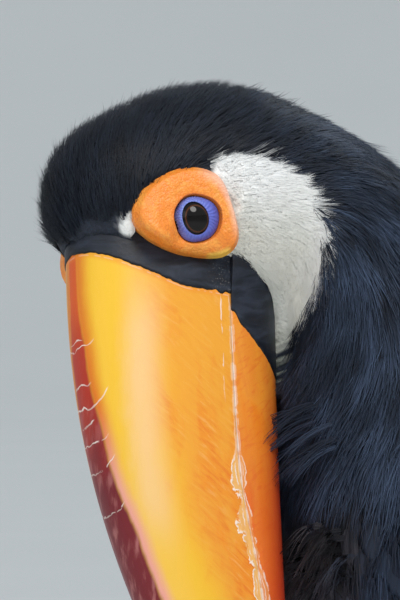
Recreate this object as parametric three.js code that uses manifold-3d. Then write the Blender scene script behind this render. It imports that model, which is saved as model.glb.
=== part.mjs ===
// A toco toucan at life size, standing on both feet with its head bowed and turned to its left.
// Millimetres, +Z up. The trunk faces -Y, the bird's left side is +X, and the soles lie on Z = 0.
import * as THREE from 'three';
import { mergeVertices } from 'three/addons/utils/BufferGeometryUtils.js';
import Module from 'manifold-3d';

const wasm = await Module();
wasm.setup();

// ---------------------------------------------------------------- driving dimensions
const GAP = 0.3; // space between pieces that touch
const FAR = 400; // larger than anything here, for cutting blocks

// The head: the point midway between the eyes, and where its bill and crown point.
const EYES = vec(20, -95, 232);
const BILL_WAY = vec(0.35, 0, -0.94).normalize();
const LEFT_WAY = vec(0.47, -0.87, 0.17).cross(BILL_WAY).normalize();
const CROWN_WAY = BILL_WAY.clone().cross(LEFT_WAY);
const HEAD_BACK = -14; // the skull's middle, behind the eyes
const HEAD_HALF_WIDTH = 25;
const HEAD_HALF_HEIGHT = 33;
const HEAD_FRONT = 30; // from the skull's middle to the bill, and to the nape
const HEAD_REAR = 23;

// The bill, measured forward from the eyes.
const BILL_START = 3;
const BILL_END = 191;
const CULMEN_RISE = 29; // the ridge's height above the eyes at the base
const CULMEN_DROP = 23; // how far the ridge has fallen at CULMEN_AT
const CULMEN_AT = 114;
const CULMEN_BEND = 2.3;
const GONYS_DEPTH = 37.8; // the keel's depth below the eyes at the base
const GONYS_DROP = 9;
const BILL_HALF_WIDTH = 20.8;
const MANDIBLE_SHARE = 0.35; // of the bill's depth
const SECTION_POWER = 2.3; // fuller than an ellipse
const EYE_RADIUS = 8.2;
const EYE_OUT = 22.6; // the eyeball's centre, out from the head's middle
const EYE_PLACE = { forward: -0.5, up: 0.5 };
const ORBIT = { forward: -1, up: 4, halfLength: 14, halfHeight: 17, proud: 1.2 }; // bare skin round the eye

// The trunk: an egg on a slanting axis, with the neck rising from its front end.
const TRUNK = vec(0, 8, 130);
const TRUNK_SLOPE = THREE.MathUtils.degToRad(42);
const TRUNK_HALF = { along: 88, across: 56, deep: 58 };
const TAIL_ROOT = vec(0, 72, 80);
const TAIL_SLOPE = THREE.MathUtils.degToRad(23);
const TAIL_LENGTH = 150;
const TAIL_HALF_WIDTH = 33;
const TAIL_THICK = 2.2;

// The folded wing, from its bend to the tips of the primaries.
const WING_BEND = vec(26, -53, 127);
const WING_TIP = vec(18, 150, 62);
const WING_HALF_HEIGHT = 42;
const WING_PROUD = 6; // how far the wing stands out from the flank
const WING_SUNK = 16;
const WING_ARCH = 16; // how far the folded wing bows up over the flank

// The legs, for the left side; the right one is its mirror.
const HIP = vec(30, 4, 92);
const THIGH_RADIUS = { top: 26, ankle: 9 };
const ANKLE = vec(29, 12, 52);
const FOOT = vec(31, -10, 8.5);
const TARSUS_RADIUS = 3.4;
const TOE_HEIGHT = 7;
const TOE_PADS = 3; // swellings along a toe
const SOLE_PRESS = 0.8; // how far the toe would go into the ground, of its height, if it weren't flat
const CLAW_LENGTH = 12;
const CLAW_RADIUS = 2.3;
const TOES = [
  { name: 'outer_front', turn: -14, length: 44 },
  { name: 'inner_front', turn: 24, length: 33 },
  { name: 'outer_back', turn: -152, length: 37 },
  { name: 'inner_back', turn: 160, length: 24 },
];

// ---------------------------------------------------------------- colours
const BLACK = finish(0x14171d, 0.75);
const WHITE = finish(0xf1eee2, 0.8);
const RED = finish(0xa3261c, 0.8);
const ORANGE_SKIN = finish(0xf07a1e, 0.6);
const ORANGE_HORN = finish(0xf6981f, 0.35);
const BLACK_HORN = finish(0x1a1c20, 0.4);
const LEG_SKIN = finish(0x52647a, 0.6);
const CLAW_HORN = finish(0x1d1d20, 0.4);
const EYE_GLOSS = finish(0x0b0908, 0.05);

function finish(color, roughness, metalness = 0) {
  return new THREE.MeshStandardMaterial({ color, roughness, metalness });
}

// ---------------------------------------------------------------- small helpers
function vec(x, y, z) {
  return new THREE.Vector3(x, y, z);
}

function mix(a, b, share) {
  return a + (b - a) * share;
}

function ease(low, high, value) {
  return THREE.MathUtils.smoothstep(value, low, high);
}

function mirrored(point) {
  return vec(-point.x, point.y, point.z);
}

// A point given forward of, above and to the left of the eyes' midpoint.
function headPoint(forward, up, left) {
  return EYES.clone()
    .addScaledVector(BILL_WAY, forward)
    .addScaledVector(CROWN_WAY, up)
    .addScaledVector(LEFT_WAY, left);
}

const HEAD_MATRIX = new THREE.Matrix4()
  .makeBasis(BILL_WAY, CROWN_WAY, LEFT_WAY.clone().negate())
  .setPosition(EYES);

function solidOf(geometry) {
  const bare = geometry.index ? geometry.toNonIndexed() : geometry.clone();
  bare.deleteAttribute('normal');
  bare.deleteAttribute('uv');
  const merged = mergeVertices(bare, 1e-4);
  return new wasm.Manifold(new wasm.Mesh({
    numProp: 3,
    vertProperties: new Float32Array(merged.attributes.position.array),
    triVerts: new Uint32Array(merged.index.array),
  }));
}

// The largest of the bodies that a cut leaves.
function mainBody(solid) {
  return solid.decompose().reduce((best, body) => (body.volume() > best.volume() ? body : best));
}

function geometryOf(solid) {
  const mesh = solid.getMesh();
  const geometry = new THREE.BufferGeometry();
  const places = new Float32Array(mesh.triVerts.length * 3);
  mesh.triVerts.forEach((corner, i) => {
    for (let axis = 0; axis < 3; axis += 1) {
      places[i * 3 + axis] = mesh.vertProperties[corner * mesh.numProp + axis];
    }
  });
  geometry.setAttribute('position', new THREE.BufferAttribute(places, 3));
  return mergeVertices(geometry, 1e-5);
}

// A closed body from a sphere: `place(run, turn)` puts each vertex, with run from 0 to 1 between
// the poles and turn from 0 to 2 pi round them.
function loft(around, along, place) {
  const geometry = new THREE.SphereGeometry(1, around, along);
  const spots = geometry.attributes.position;
  const columns = around + 1;
  for (let i = 0; i < spots.count; i += 1) {
    const run = Math.floor(i / columns) / along;
    const turn = ((i % columns) % around) / around * 2 * Math.PI;
    spots.setXYZ(i, ...place(run, turn).toArray());
  }
  const solid = solidOf(geometry);
  return solid.volume() < 0 ? solidOf(flipped(geometry)) : solid;
}

function flipped(geometry) {
  const turned = geometry.toNonIndexed();
  const spots = turned.attributes.position;
  for (let i = 0; i < spots.count; i += 3) {
    const first = new THREE.Vector3().fromBufferAttribute(spots, i);
    const second = new THREE.Vector3().fromBufferAttribute(spots, i + 1);
    spots.setXYZ(i, ...second.toArray());
    spots.setXYZ(i + 1, ...first.toArray());
  }
  return turned;
}

// Everything on the side of a plane that its normal points to.
function halfSpace(point, normal, inset = 0) {
  const block = new THREE.BoxGeometry(2 * FAR, 2 * FAR, 2 * FAR);
  const turn = new THREE.Quaternion().setFromUnitVectors(vec(0, 0, 1), normal);
  block.translate(0, 0, FAR + inset);
  block.applyQuaternion(turn);
  block.translate(point.x, point.y, point.z);
  return solidOf(block);
}

// ---------------------------------------------------------------- the flesh as one rounded field
const ALONG = vec(0, Math.cos(TRUNK_SLOPE), -Math.sin(TRUNK_SLOPE));
const BELLY = vec(0, -Math.sin(TRUNK_SLOPE), -Math.cos(TRUNK_SLOPE));
const BLEND = 16;

function skullDistance(point) {
  const from = point.clone().sub(headPoint(HEAD_BACK, 1, 0));
  const forward = from.dot(BILL_WAY);
  const reach = forward > 0 ? HEAD_FRONT : HEAD_REAR;
  const up = from.dot(CROWN_WAY);
  return eggDistance(forward, up, from.dot(LEFT_WAY), reach, HEAD_HALF_HEIGHT, HEAD_HALF_WIDTH);
}

function trunkDistance(point) {
  const from = point.clone().sub(TRUNK);
  const { along, across, deep } = TRUNK_HALF;
  return eggDistance(from.dot(ALONG), from.dot(BELLY), from.x, along, deep, across);
}

function eggDistance(a, b, c, halfA, halfB, halfC) {
  const near = Math.hypot(a / halfA, b / halfB, c / halfC);
  const slope = Math.hypot(a / halfA ** 2, b / halfB ** 2, c / halfC ** 2);
  return slope === 0 ? -Math.min(halfA, halfB, halfC) : near * (near - 1) / slope;
}

// A limb that runs from one ball to another.
function limbDistance(point, limb) {
  const run = limb.to.clone().sub(limb.from);
  const share = THREE.MathUtils.clamp(point.clone().sub(limb.from).dot(run) / run.lengthSq(), 0, 1);
  const centre = limb.from.clone().addScaledVector(run, share);
  return point.distanceTo(centre) - mix(limb.fromRadius, limb.toRadius, share);
}

function limb(from, fromRadius, to, toRadius) {
  return { from, fromRadius, to, toRadius };
}

const THROAT = vec(0, -50, 198);
const CROP = vec(-4, -34, 167);
const NECK = new THREE.CatmullRomCurve3([
  headPoint(-12, -4, 0),
  vec(4, -77, 246),
  vec(1, -54, 230),
  vec(-1, -36, 210),
  vec(0, -13, 178),
  TRUNK,
]);
const NECK_RADII = new THREE.SplineCurve([27, 35, 42, 45, 49, 56].map((r, i) => new THREE.Vector2(i, r)));
const NECK_STEPS = 12;
const NECK_CHAIN = Array.from({ length: NECK_STEPS }, (_, i) => limb(
  NECK.getPoint(i / NECK_STEPS),
  NECK_RADII.getPoint(i / NECK_STEPS).y,
  NECK.getPoint((i + 1) / NECK_STEPS),
  NECK_RADII.getPoint((i + 1) / NECK_STEPS).y,
));
const LIMBS = [
  limb(headPoint(-3, 17, 0), 14, headPoint(-8, 10, 0), 20), // forehead
  limb(headPoint(-8, -24, 0), 24, headPoint(15, -34, 0), 9), // chin
  limb(headPoint(-8, -24, 0), 24, THROAT, 25),
  limb(THROAT, 25, CROP, 34),
  limb(TRUNK.clone().addScaledVector(ALONG, 45), 40, TAIL_ROOT, 17), // rump
];

function roundMin(a, b, blend) {
  const share = THREE.MathUtils.clamp(0.5 + 0.5 * (b - a) / blend, 0, 1);
  return mix(b, a, share) - blend * share * (1 - share);
}

function fleshDistance(point) {
  const neck = Math.min(...NECK_CHAIN.map((part) => limbDistance(point, part)));
  let nearest = roundMin(roundMin(skullDistance(point), neck, BLEND), trunkDistance(point), BLEND);
  for (const part of LIMBS) {
    nearest = roundMin(nearest, limbDistance(point, part), BLEND / 2);
  }
  return nearest;
}

const RAY_STEP = 1.5;
const RAY_HALVINGS = 18;

// A ball drawn in along each of its rays to the flesh's surface, or to that surface grown a little.
function fleshRound({ centre, reach }, detail, grow = 0) {
  const geometry = new THREE.IcosahedronGeometry(1, detail);
  const spots = geometry.attributes.position;
  for (let i = 0; i < spots.count; i += 1) {
    const way = new THREE.Vector3().fromBufferAttribute(spots, i).normalize();
    const at = (distance) => fleshDistance(centre.clone().addScaledVector(way, distance)) - grow;
    let outer = RAY_STEP;
    while (outer < reach && at(outer) < 0) {
      outer += RAY_STEP;
    }
    let inner = outer - RAY_STEP;
    for (let halving = 0; halving < RAY_HALVINGS && outer < reach; halving += 1) {
      const middle = (inner + outer) / 2;
      if (at(middle) < 0) {
        inner = middle;
      } else {
        outer = middle;
      }
    }
    const distance = Math.min(reach, outer);
    spots.setXYZ(i, ...centre.clone().addScaledVector(way, distance).toArray());
  }
  return solidOf(geometry);
}

// ---------------------------------------------------------------- the bill
function culmenAt(forward) {
  return CULMEN_RISE - CULMEN_DROP * (Math.max(forward, 0) / CULMEN_AT) ** CULMEN_BEND;
}

function gonysAt(forward) {
  return -GONYS_DEPTH - GONYS_DROP * (Math.max(forward, 0) / BILL_END) ** 1.2;
}

function tomiumAt(forward) {
  const share = MANDIBLE_SHARE - 0.08 * ease(70, 120, forward);
  return mix(gonysAt(forward), culmenAt(forward), share);
}

function billHalfWidth(forward) {
  return BILL_HALF_WIDTH * (1 - (Math.max(forward, 0) / (BILL_END + 0.5)) ** 1.9) ** 0.7;
}

function rounded(value) {
  return Math.sign(value) * Math.abs(value) ** (2 / SECTION_POWER);
}

// The whole bill in the head's own axes: x forward, y up, z to the bird's right.
function billSolid(grow = 0) {
  const rear = 1 / 16;
  return loft(20, 16, (run, turn) => {
    const share = Math.max(0, (run - rear) / (1 - rear));
    const forward = mix(BILL_START - grow, BILL_END + grow, share);
    const size = Math.min(1, run / rear) * (run > 0.999 ? 0 : 1);
    const middle = tomiumAt(forward);
    const up = Math.cos(turn) > 0 ? culmenAt(forward) - middle : middle - gonysAt(forward);
    return vec(
      forward,
      middle + size * (up + grow) * rounded(Math.cos(turn)),
      size * (billHalfWidth(forward) + grow) * rounded(Math.sin(turn)),
    );
  });
}

// A block right through the bill, over the area between two edge curves of (forward, up) points.
function sideBlock(edge, closing) {
  const outline = new THREE.Shape([...edge, ...closing].map(([x, y]) => new THREE.Vector2(x, y)));
  const block = new THREE.ExtrudeGeometry(outline, { depth: 2 * FAR, bevelEnabled: false });
  block.translate(0, 0, -FAR);
  return solidOf(block);
}

function curvePoints(from, to, count, place) {
  return Array.from({ length: count + 1 }, (_, i) => place(mix(from, to, i / count)));
}

function tomiumBlock(side) {
  const place = (x) => [x, tomiumAt(Math.min(x, BILL_END)) + side * GAP / 2];
  const edge = curvePoints(-20, BILL_END + 20, 12, place);
  return sideBlock(edge, [[BILL_END + 20, side * FAR], [-20, side * FAR]]);
}

const SPLIT = tomiumAt(20); // where the two halves of the bill meet at the band
const BAND = { upper: 19.3, lower: 24 }; // how far forward the band reaches there

// How far forward the black base band reaches at each height.
function bandFront(up) {
  if (up > SPLIT) {
    return BAND.upper - 9 * (THREE.MathUtils.clamp(up, 0, 40) / 26) ** 1.2;
  }
  return BAND.lower + 17 * ((SPLIT - up) / 20) ** 0.8;
}

function bandBlock(low, high, shift) {
  const edge = curvePoints(low, high, 8, (up) => [bandFront(up) + shift, up]);
  return sideBlock(edge, [[-FAR, high], [-FAR, low]]);
}

const BAND_RANGES = {
  maxilla: { side: 1, low: SPLIT - 4, high: 40 },
  mandible: { side: -1, low: -60, high: SPLIT + 4 },
};

// ---------------------------------------------------------------- eyes and the bare skin round them
function eyeBall(side, grow) {
  const ball = new THREE.SphereGeometry(EYE_RADIUS + grow, 12, 7);
  ball.rotateX(Math.PI / 2);
  ball.translate(EYE_PLACE.forward, EYE_PLACE.up, -side * EYE_OUT);
  return ball;
}

function eyeRoom(side) {
  return solidOf(eyeBall(side, GAP));
}

function eyeSolid(side, grow = 0) {
  return solidOf(eyeBall(side, grow).applyMatrix4(HEAD_MATRIX));
}

const ORBIT_INNER = 10; // from the head's middle
const ORBIT_OUTER = 50;

// A plug of bare skin round the eye, whose outer face follows the head a little proud of it.
function orbitColumn(side, grow = 0) {
  const { forward, up, halfLength, halfHeight } = ORBIT;
  const outline = new THREE.Shape();
  outline.absellipse(forward, up, halfLength + grow, halfHeight + grow, 0, 2 * Math.PI, false, 0);
  const depth = ORBIT_OUTER - ORBIT_INNER + 2 * grow;
  const column = new THREE.ExtrudeGeometry(outline, { depth, bevelEnabled: false, curveSegments: 6 });
  column.translate(0, 0, (side > 0 ? -ORBIT_OUTER : ORBIT_INNER) - grow);
  column.applyMatrix4(HEAD_MATRIX);
  return solidOf(column);
}

// ---------------------------------------------------------------- the folded wing
const WING_RUN = WING_TIP.clone().sub(WING_BEND);
const WING_UP = vec(0, -WING_RUN.z, WING_RUN.y).normalize();

const WING_FORE = 0.62; // under 1, so that the wing is deepest towards its bend
const WING_BLUNT = 0.6;

function wingHalfHeight(run) {
  const outline = Math.sin(Math.PI * Math.min(1, run ** WING_FORE)) ** WING_BLUNT;
  return WING_HALF_HEIGHT * outline * mix(1, 0.75, run);
}

// How far out the flank lies at a place along the bird.
function flankAt(y, z) {
  let out = TRUNK_HALF.across + 12;
  while (out > 0 && fleshDistance(vec(out, y, z)) > 0) {
    out -= 1;
  }
  return out;
}

function wingMiddle(run) {
  return WING_BEND.clone().addScaledVector(WING_RUN, run);
}

function wingPoint(run, turn, grow) {
  const across = Math.cos(turn);
  const thick = Math.sin(turn);
  const fullness = Math.sqrt(Math.abs(Math.sin(Math.PI * run)));
  const height = wingHalfHeight(run) + grow * fullness;
  const arch = WING_ARCH * Math.sin(Math.PI * run ** 0.8) ** 2;
  const base = wingMiddle(run).addScaledVector(WING_UP, height * across + arch);
  const proud = mix(WING_PROUD, 1.5, ease(0.3, 0.9, run)) + grow;
  const sunk = mix(WING_SUNK, 1, ease(0.45, 0.8, run)) + grow;
  const flank = -roundMin(-flankAt(base.y, base.z), -base.x, BLEND);
  return vec(flank + fullness * thick * (thick > 0 ? proud : sunk), base.y, base.z);
}

const WING_AREAS = [
  { name: 'wing', from: -0.2, to: 0.42 },
  { name: 'secondaries', from: 0.42, to: 0.72 },
  { name: 'primaries', from: 0.72, to: 1.2 },
];
const WING_SKEW = 0.55; // the feather groups end on a slant

function wingBlock(area) {
  const across = WING_UP.clone().multiplyScalar(WING_SKEW).add(WING_RUN.clone().normalize()).normalize();
  const at = (share, shift) => wingMiddle(share).addScaledVector(across, shift);
  const front = halfSpace(at(area.from, GAP / 2), across);
  const back = halfSpace(at(area.to, -GAP / 2), across.clone().negate());
  return front.intersect(back);
}

// ---------------------------------------------------------------- the tail
const TAIL_WAY = vec(0, Math.cos(TAIL_SLOPE), -Math.sin(TAIL_SLOPE));
const TAIL_UP = vec(0, Math.sin(TAIL_SLOPE), Math.cos(TAIL_SLOPE));
const TAIL_TURN = 0.84; // where the sides start to round off to the end
const TAIL_ROOT_THICK = 4;
const TAIL_ROOF = 0.0045; // how the vanes slope down from the middle

function tailPoint(run, turn, grow) {
  const share = (1 - Math.cos(Math.PI * run)) / 2;
  const rounding = Math.sqrt(1 - (Math.max(0, share - TAIL_TURN) / (1 - TAIL_TURN)) ** 2);
  const closing = Math.min(1, 12 * run) * rounding;
  const across = closing * (TAIL_HALF_WIDTH * mix(0.5, 1, ease(0, 0.7, share)) + grow) * Math.cos(turn);
  const full = mix(TAIL_ROOT_THICK, TAIL_THICK, ease(0, 0.4, share)) + 3 * grow;
  const thick = Math.min(1, 12 * run, 12 * (1 - run)) * full;
  const roof = -TAIL_ROOF * across ** 2;
  return TAIL_ROOT.clone()
    .addScaledVector(TAIL_WAY, share * TAIL_LENGTH - 4)
    .addScaledVector(TAIL_UP, thick * Math.sin(turn) / 2 + roof)
    .add(vec(across, 0, 0));
}

// ---------------------------------------------------------------- legs
function onSide(point, side) {
  return side > 0 ? point.clone() : mirrored(point);
}

// A round tapering rod between two points.
function rod(from, to, fromRadius, toRadius, around, along) {
  const way = to.clone().sub(from);
  const turnTo = new THREE.Quaternion().setFromUnitVectors(vec(0, 0, 1), way.clone().normalize());
  return loft(around, along, (run, turn) => {
    const share = (1 - Math.cos(Math.PI * run)) / 2;
    const radius = mix(fromRadius, toRadius, share) * Math.sqrt(Math.sin(Math.PI * run));
    const ring = vec(radius * Math.cos(turn), radius * Math.sin(turn), 0).applyQuaternion(turnTo);
    return from.clone().addScaledVector(way, share).add(ring);
  });
}

function thighSolid(side) {
  const knee = ANKLE.clone().add(vec(0, 1, 4));
  return rod(onSide(HIP, side), onSide(knee, side), THIGH_RADIUS.top, THIGH_RADIUS.ankle, 10, 5);
}

function tarsusSolid(side, grow = 0) {
  return rod(
    onSide(ANKLE, side),
    onSide(FOOT, side),
    TARSUS_RADIUS + 1 + grow,
    TARSUS_RADIUS + 0.4 + grow,
    8,
    6,
  );
}

function toeWay(toe, side) {
  const angle = THREE.MathUtils.degToRad(toe.turn * side);
  return vec(-Math.sin(angle), -Math.cos(angle), 0);
}

// A padded toe with a flat sole, low at the tip.
function toeSolid(toe, side, grow = 0) {
  const foot = onSide(FOOT, side);
  const way = toeWay(toe, side);
  const sideways = vec(-way.y, way.x, 0);
  return loft(8, 7, (run, turn) => {
    const share = (1 - Math.cos(Math.PI * run)) / 2;
    const pads = 1 + 0.12 * Math.cos(2 * TOE_PADS * Math.PI * share);
    const height = TOE_HEIGHT * mix(1.15, 0.75, share) * pads;
    const round = Math.sin(Math.PI * run) ** 0.5;
    const swell = height * (Math.sin(turn) < 0 ? SOLE_PRESS : 0.62) + 2 * grow;
    const lift = height / 2 + swell * round * Math.sin(turn);
    const out = (height / 2 + 2 * grow) * round * Math.cos(turn);
    return vec(foot.x, foot.y, 0)
      .addScaledVector(way, mix(-3 * grow, toe.length + grow, share))
      .addScaledVector(sideways, out)
      .add(vec(0, 0, Math.max(-3 * grow, lift)));
  });
}

// A curved claw that leaves the toe's end and comes down to its point.
function clawSolid(toe, side) {
  const foot = onSide(FOOT, side);
  const way = toeWay(toe, side);
  const sideways = vec(-way.y, way.x, 0);
  return loft(6, 5, (run, turn) => {
    const thick = CLAW_RADIUS * Math.sqrt(1 - run) * (run > 0 ? 1 : 0);
    const bend = run * 1.5;
    const along = toe.length - 3 + CLAW_LENGTH * Math.sin(bend) * 0.9;
    const height = 3.6 + 2.2 * Math.sin(run * Math.PI) - 3.1 * run ** 2;
    return vec(foot.x, foot.y, 0)
      .addScaledVector(way, along + thick * Math.sin(turn) * Math.sin(bend) * 0.6)
      .addScaledVector(sideways, thick * 0.75 * Math.cos(turn))
      .add(vec(0, 0, Math.max(0.05, height + thick * Math.sin(turn) * Math.cos(bend * 0.7))));
  });
}

// ---------------------------------------------------------------- build
const bird = new THREE.Group();
const head = new THREE.Group();
head.applyMatrix4(HEAD_MATRIX);
bird.add(head);

function addPiece(group, name, solid, material) {
  const mesh = new THREE.Mesh(geometryOf(mainBody(solid)), material);
  mesh.name = name;
  group.add(mesh);
}

// The bill is built in the head's own axes and its pieces are cut from one form.
const bill = billSolid().subtract(eyeRoom(1)).subtract(eyeRoom(-1));
for (const [name, { side, low, high }] of Object.entries(BAND_RANGES)) {
  const half = bill.intersect(tomiumBlock(side));
  addPiece(head, `${name}_base`, half.intersect(bandBlock(low, high, -GAP / 2)), BLACK_HORN);
  addPiece(head, name, half.subtract(bandBlock(low, high, GAP / 2)), ORANGE_HORN);
}
const billRoom = solidOf(geometryOf(billSolid(GAP)).applyMatrix4(HEAD_MATRIX));

// The flesh, in pieces parted by thin plane cuts.
const HEAD_CUT = { point: vec(9, -62, 238), normal: vec(-0.15, 0.88, -0.45).normalize() };
const NECK_CUT = { point: vec(0, -22, 176), normal: vec(0, 0.45, -0.89).normalize() };
const RUMP_CUT = { point: TRUNK.clone().addScaledVector(ALONG, 60), normal: ALONG };

// Where each round of flesh is drawn from, and how far it may reach.
const HEAD_ROUND = { centre: headPoint(-12, 0, 0), reach: 66 };
const NECK_ROUND = { centre: vec(0, -42, 212), reach: 84 };
const TRUNK_ROUND = { centre: TRUNK, reach: 125 };
const RUMP_ROUND = { centre: TRUNK.clone().addScaledVector(ALONG, 58), reach: 62 };
const ROOM = { trunk: 2.4, rump: 1.8, wing: 1 }; // more than a coarse round's own error

const headAll = fleshRound(HEAD_ROUND, 6);
const neckAll = fleshRound(NECK_ROUND, 5);
const trunkAll = fleshRound(TRUNK_ROUND, 6);
const rumpAll = fleshRound(RUMP_ROUND, 4);
const rumpRoom = fleshRound(RUMP_ROUND, 3, ROOM.rump);
const bodyRoom = fleshRound(TRUNK_ROUND, 4, ROOM.trunk).add(rumpRoom);

function before(cut) {
  return halfSpace(cut.point, cut.normal.clone().negate(), GAP / 2);
}

function beyond(cut) {
  return halfSpace(cut.point, cut.normal, GAP / 2);
}

let headPiece = headAll.intersect(before(HEAD_CUT)).subtract(billRoom);
const headSkinProud = fleshRound(HEAD_ROUND, 4, ORBIT.proud);
for (const [name, side] of [['left', 1], ['right', -1]]) {
  const orbit = orbitColumn(side).intersect(headSkinProud).subtract(billRoom).subtract(eyeSolid(side, GAP));
  headPiece = headPiece.subtract(orbitColumn(side, GAP));
  addPiece(bird, `orbital_skin_${name}`, orbit, ORANGE_SKIN);
  addPiece(bird, `eye_${name}`, eyeSolid(side), EYE_GLOSS);
}
addPiece(bird, 'head', headPiece, BLACK);
const neckPiece = neckAll.intersect(beyond(HEAD_CUT)).intersect(before(NECK_CUT));
const trunkPiece = trunkAll.intersect(beyond(NECK_CUT)).intersect(before(RUMP_CUT));
addPiece(bird, 'neck', neckPiece.subtract(billRoom), BLACK);
addPiece(bird, 'trunk', trunkPiece.subtract(billRoom), BLACK);

const tail = loft(10, 9, (run, turn) => tailPoint(run, turn, 0));
const tailRoom = loft(10, 9, (run, turn) => tailPoint(run, turn, GAP));
const rumpFlesh = rumpAll.intersect(beyond(RUMP_CUT));
const tailSplit = TAIL_ROOT.clone().addScaledVector(TAIL_UP, -0.5);
addPiece(bird, 'rump', rumpFlesh.intersect(halfSpace(tailSplit, TAIL_UP, GAP / 2)), WHITE);
addPiece(bird, 'vent', rumpFlesh.intersect(halfSpace(tailSplit, TAIL_UP.clone().negate(), GAP / 2)), RED);
addPiece(bird, 'tail', tail.subtract(rumpRoom), BLACK);

for (const [name, side] of [['left', 1], ['right', -1]]) {
  const wing = loft(12, 15, (run, turn) => onSide(wingPoint(run, turn, 0), side));
  const wingRoom = loft(12, 15, (run, turn) => onSide(wingPoint(run, turn, ROOM.wing), side));
  const fitted = wing.subtract(bodyRoom).subtract(tailRoom);
  for (const area of WING_AREAS) {
    addPiece(bird, `${area.name}_${name}`, fitted.intersect(wingBlock(area)), BLACK);
  }
  const thigh = thighSolid(side).subtract(bodyRoom).subtract(wingRoom).subtract(tarsusSolid(side, GAP));
  addPiece(bird, `thigh_${name}`, thigh, BLACK);
  let placed = tarsusSolid(side, GAP);
  addPiece(bird, `tarsus_${name}`, tarsusSolid(side), LEG_SKIN);
  for (const toe of TOES) {
    addPiece(bird, `toe_${toe.name}_${name}`, toeSolid(toe, side).subtract(placed), LEG_SKIN);
    placed = placed.add(toeSolid(toe, side, GAP));
    const claw = clawSolid(toe, side).subtract(toeSolid(toe, side, GAP));
    addPiece(bird, `claw_${toe.name}_${name}`, claw, CLAW_HORN);
  }
}

// The origin goes to the middle of the footprint of the whole bird.
bird.updateMatrixWorld(true);
const extent = new THREE.Box3().setFromObject(bird, true);
const middle = extent.getCenter(new THREE.Vector3());
bird.position.set(-middle.x, -middle.y, -extent.min.z);

export default bird;
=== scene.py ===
"""A toco toucan at life size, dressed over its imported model.

Places and sizes inside the classes are in millimetres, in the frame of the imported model, and
become metres when a mesh is made.
"""

import logging
import math
from dataclasses import dataclass, field
from enum import Enum, IntEnum

import bmesh
import bpy
import numpy as np
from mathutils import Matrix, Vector
from mathutils.bvhtree import BVHTree


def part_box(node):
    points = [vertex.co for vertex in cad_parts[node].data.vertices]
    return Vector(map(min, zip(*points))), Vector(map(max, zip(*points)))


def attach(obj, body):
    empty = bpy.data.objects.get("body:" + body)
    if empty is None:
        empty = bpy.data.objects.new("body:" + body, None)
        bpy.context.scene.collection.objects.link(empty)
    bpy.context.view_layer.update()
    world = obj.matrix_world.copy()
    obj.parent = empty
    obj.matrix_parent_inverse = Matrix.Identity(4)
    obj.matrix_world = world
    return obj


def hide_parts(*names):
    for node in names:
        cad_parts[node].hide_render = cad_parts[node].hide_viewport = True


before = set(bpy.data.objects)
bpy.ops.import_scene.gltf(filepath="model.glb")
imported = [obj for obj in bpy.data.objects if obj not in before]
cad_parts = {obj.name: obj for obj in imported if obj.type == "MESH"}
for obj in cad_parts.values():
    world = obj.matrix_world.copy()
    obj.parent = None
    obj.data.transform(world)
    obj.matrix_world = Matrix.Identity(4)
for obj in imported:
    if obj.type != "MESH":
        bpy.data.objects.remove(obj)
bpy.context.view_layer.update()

LOG = logging.getLogger("toucan")
MM = 0.001
BODY = "root"
BAKE_MAP = "OFBake"
TUFT_PATCH = 0.003
UPWARD = np.array([0.0, 0.0, 1.0])

Array = np.ndarray
Mesh = bpy.types.Mesh
Piece = bpy.types.Object
Finish = bpy.types.Material
Colour = tuple[float, float, float]


class Seed(IntEnum):
    """The fixed start of each kind of random draw."""

    TUFTS = 3
    UPPER_BAND = 5
    LOWER_BAND = 6
    CLOUDS = 12
    CLUMPS = 14
    BORDERS = 21
    EYE_FOLDS = 31
    WING_QUILLS = 40
    BODY_VANES = 60
    UPPER_HORN = 77
    LOWER_HORN = 78
    TAIL_QUILLS = 90


class Side(Enum):
    """A side of the bird, with the sign of its sideways direction."""

    LEFT = 1
    RIGHT = -1

    @property
    def word(self) -> str:
        """The side's name as the nodes spell it."""
        return self.name.lower()


# ---------------------------------------------------------------- plain maths on arrays
def ease(low: float, high: float, value: Array | float) -> Array:
    """A smooth step from 0 at low to 1 at high."""
    share = np.clip((np.asarray(value, float) - low) / (high - low), 0.0, 1.0)
    return share * share * (3.0 - 2.0 * share)


def mix(first: Array | float, second: Array | float, share: Array | float) -> Array:
    """The value between first and second at a share from 0 to 1."""
    return np.asarray(first) + (np.asarray(second) - np.asarray(first)) * share


def unit(ways: Array) -> Array:
    """The same directions at length 1."""
    ways = np.asarray(ways, float)
    return ways / np.maximum(np.linalg.norm(ways, axis=-1, keepdims=True), 1e-9)


def hump(value: Array, middle: float, spread: float) -> Array:
    """A bell curve of height 1 round its middle."""
    return np.exp(-(((value - middle) / spread) ** 2))


def turned(first: Array, second: Array, angle: Array) -> Array:
    """The direction at an angle from first towards second."""
    return first * np.cos(angle)[..., None] + second * np.sin(angle)[..., None]


def circle(count: int) -> Array:
    """Even turns all the way round."""
    return np.arange(count) / count * 2 * math.pi


def column(count: int) -> Array:
    """Even steps from 0 to 1, one a row."""
    return np.linspace(0, 1, count)[:, None]


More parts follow.
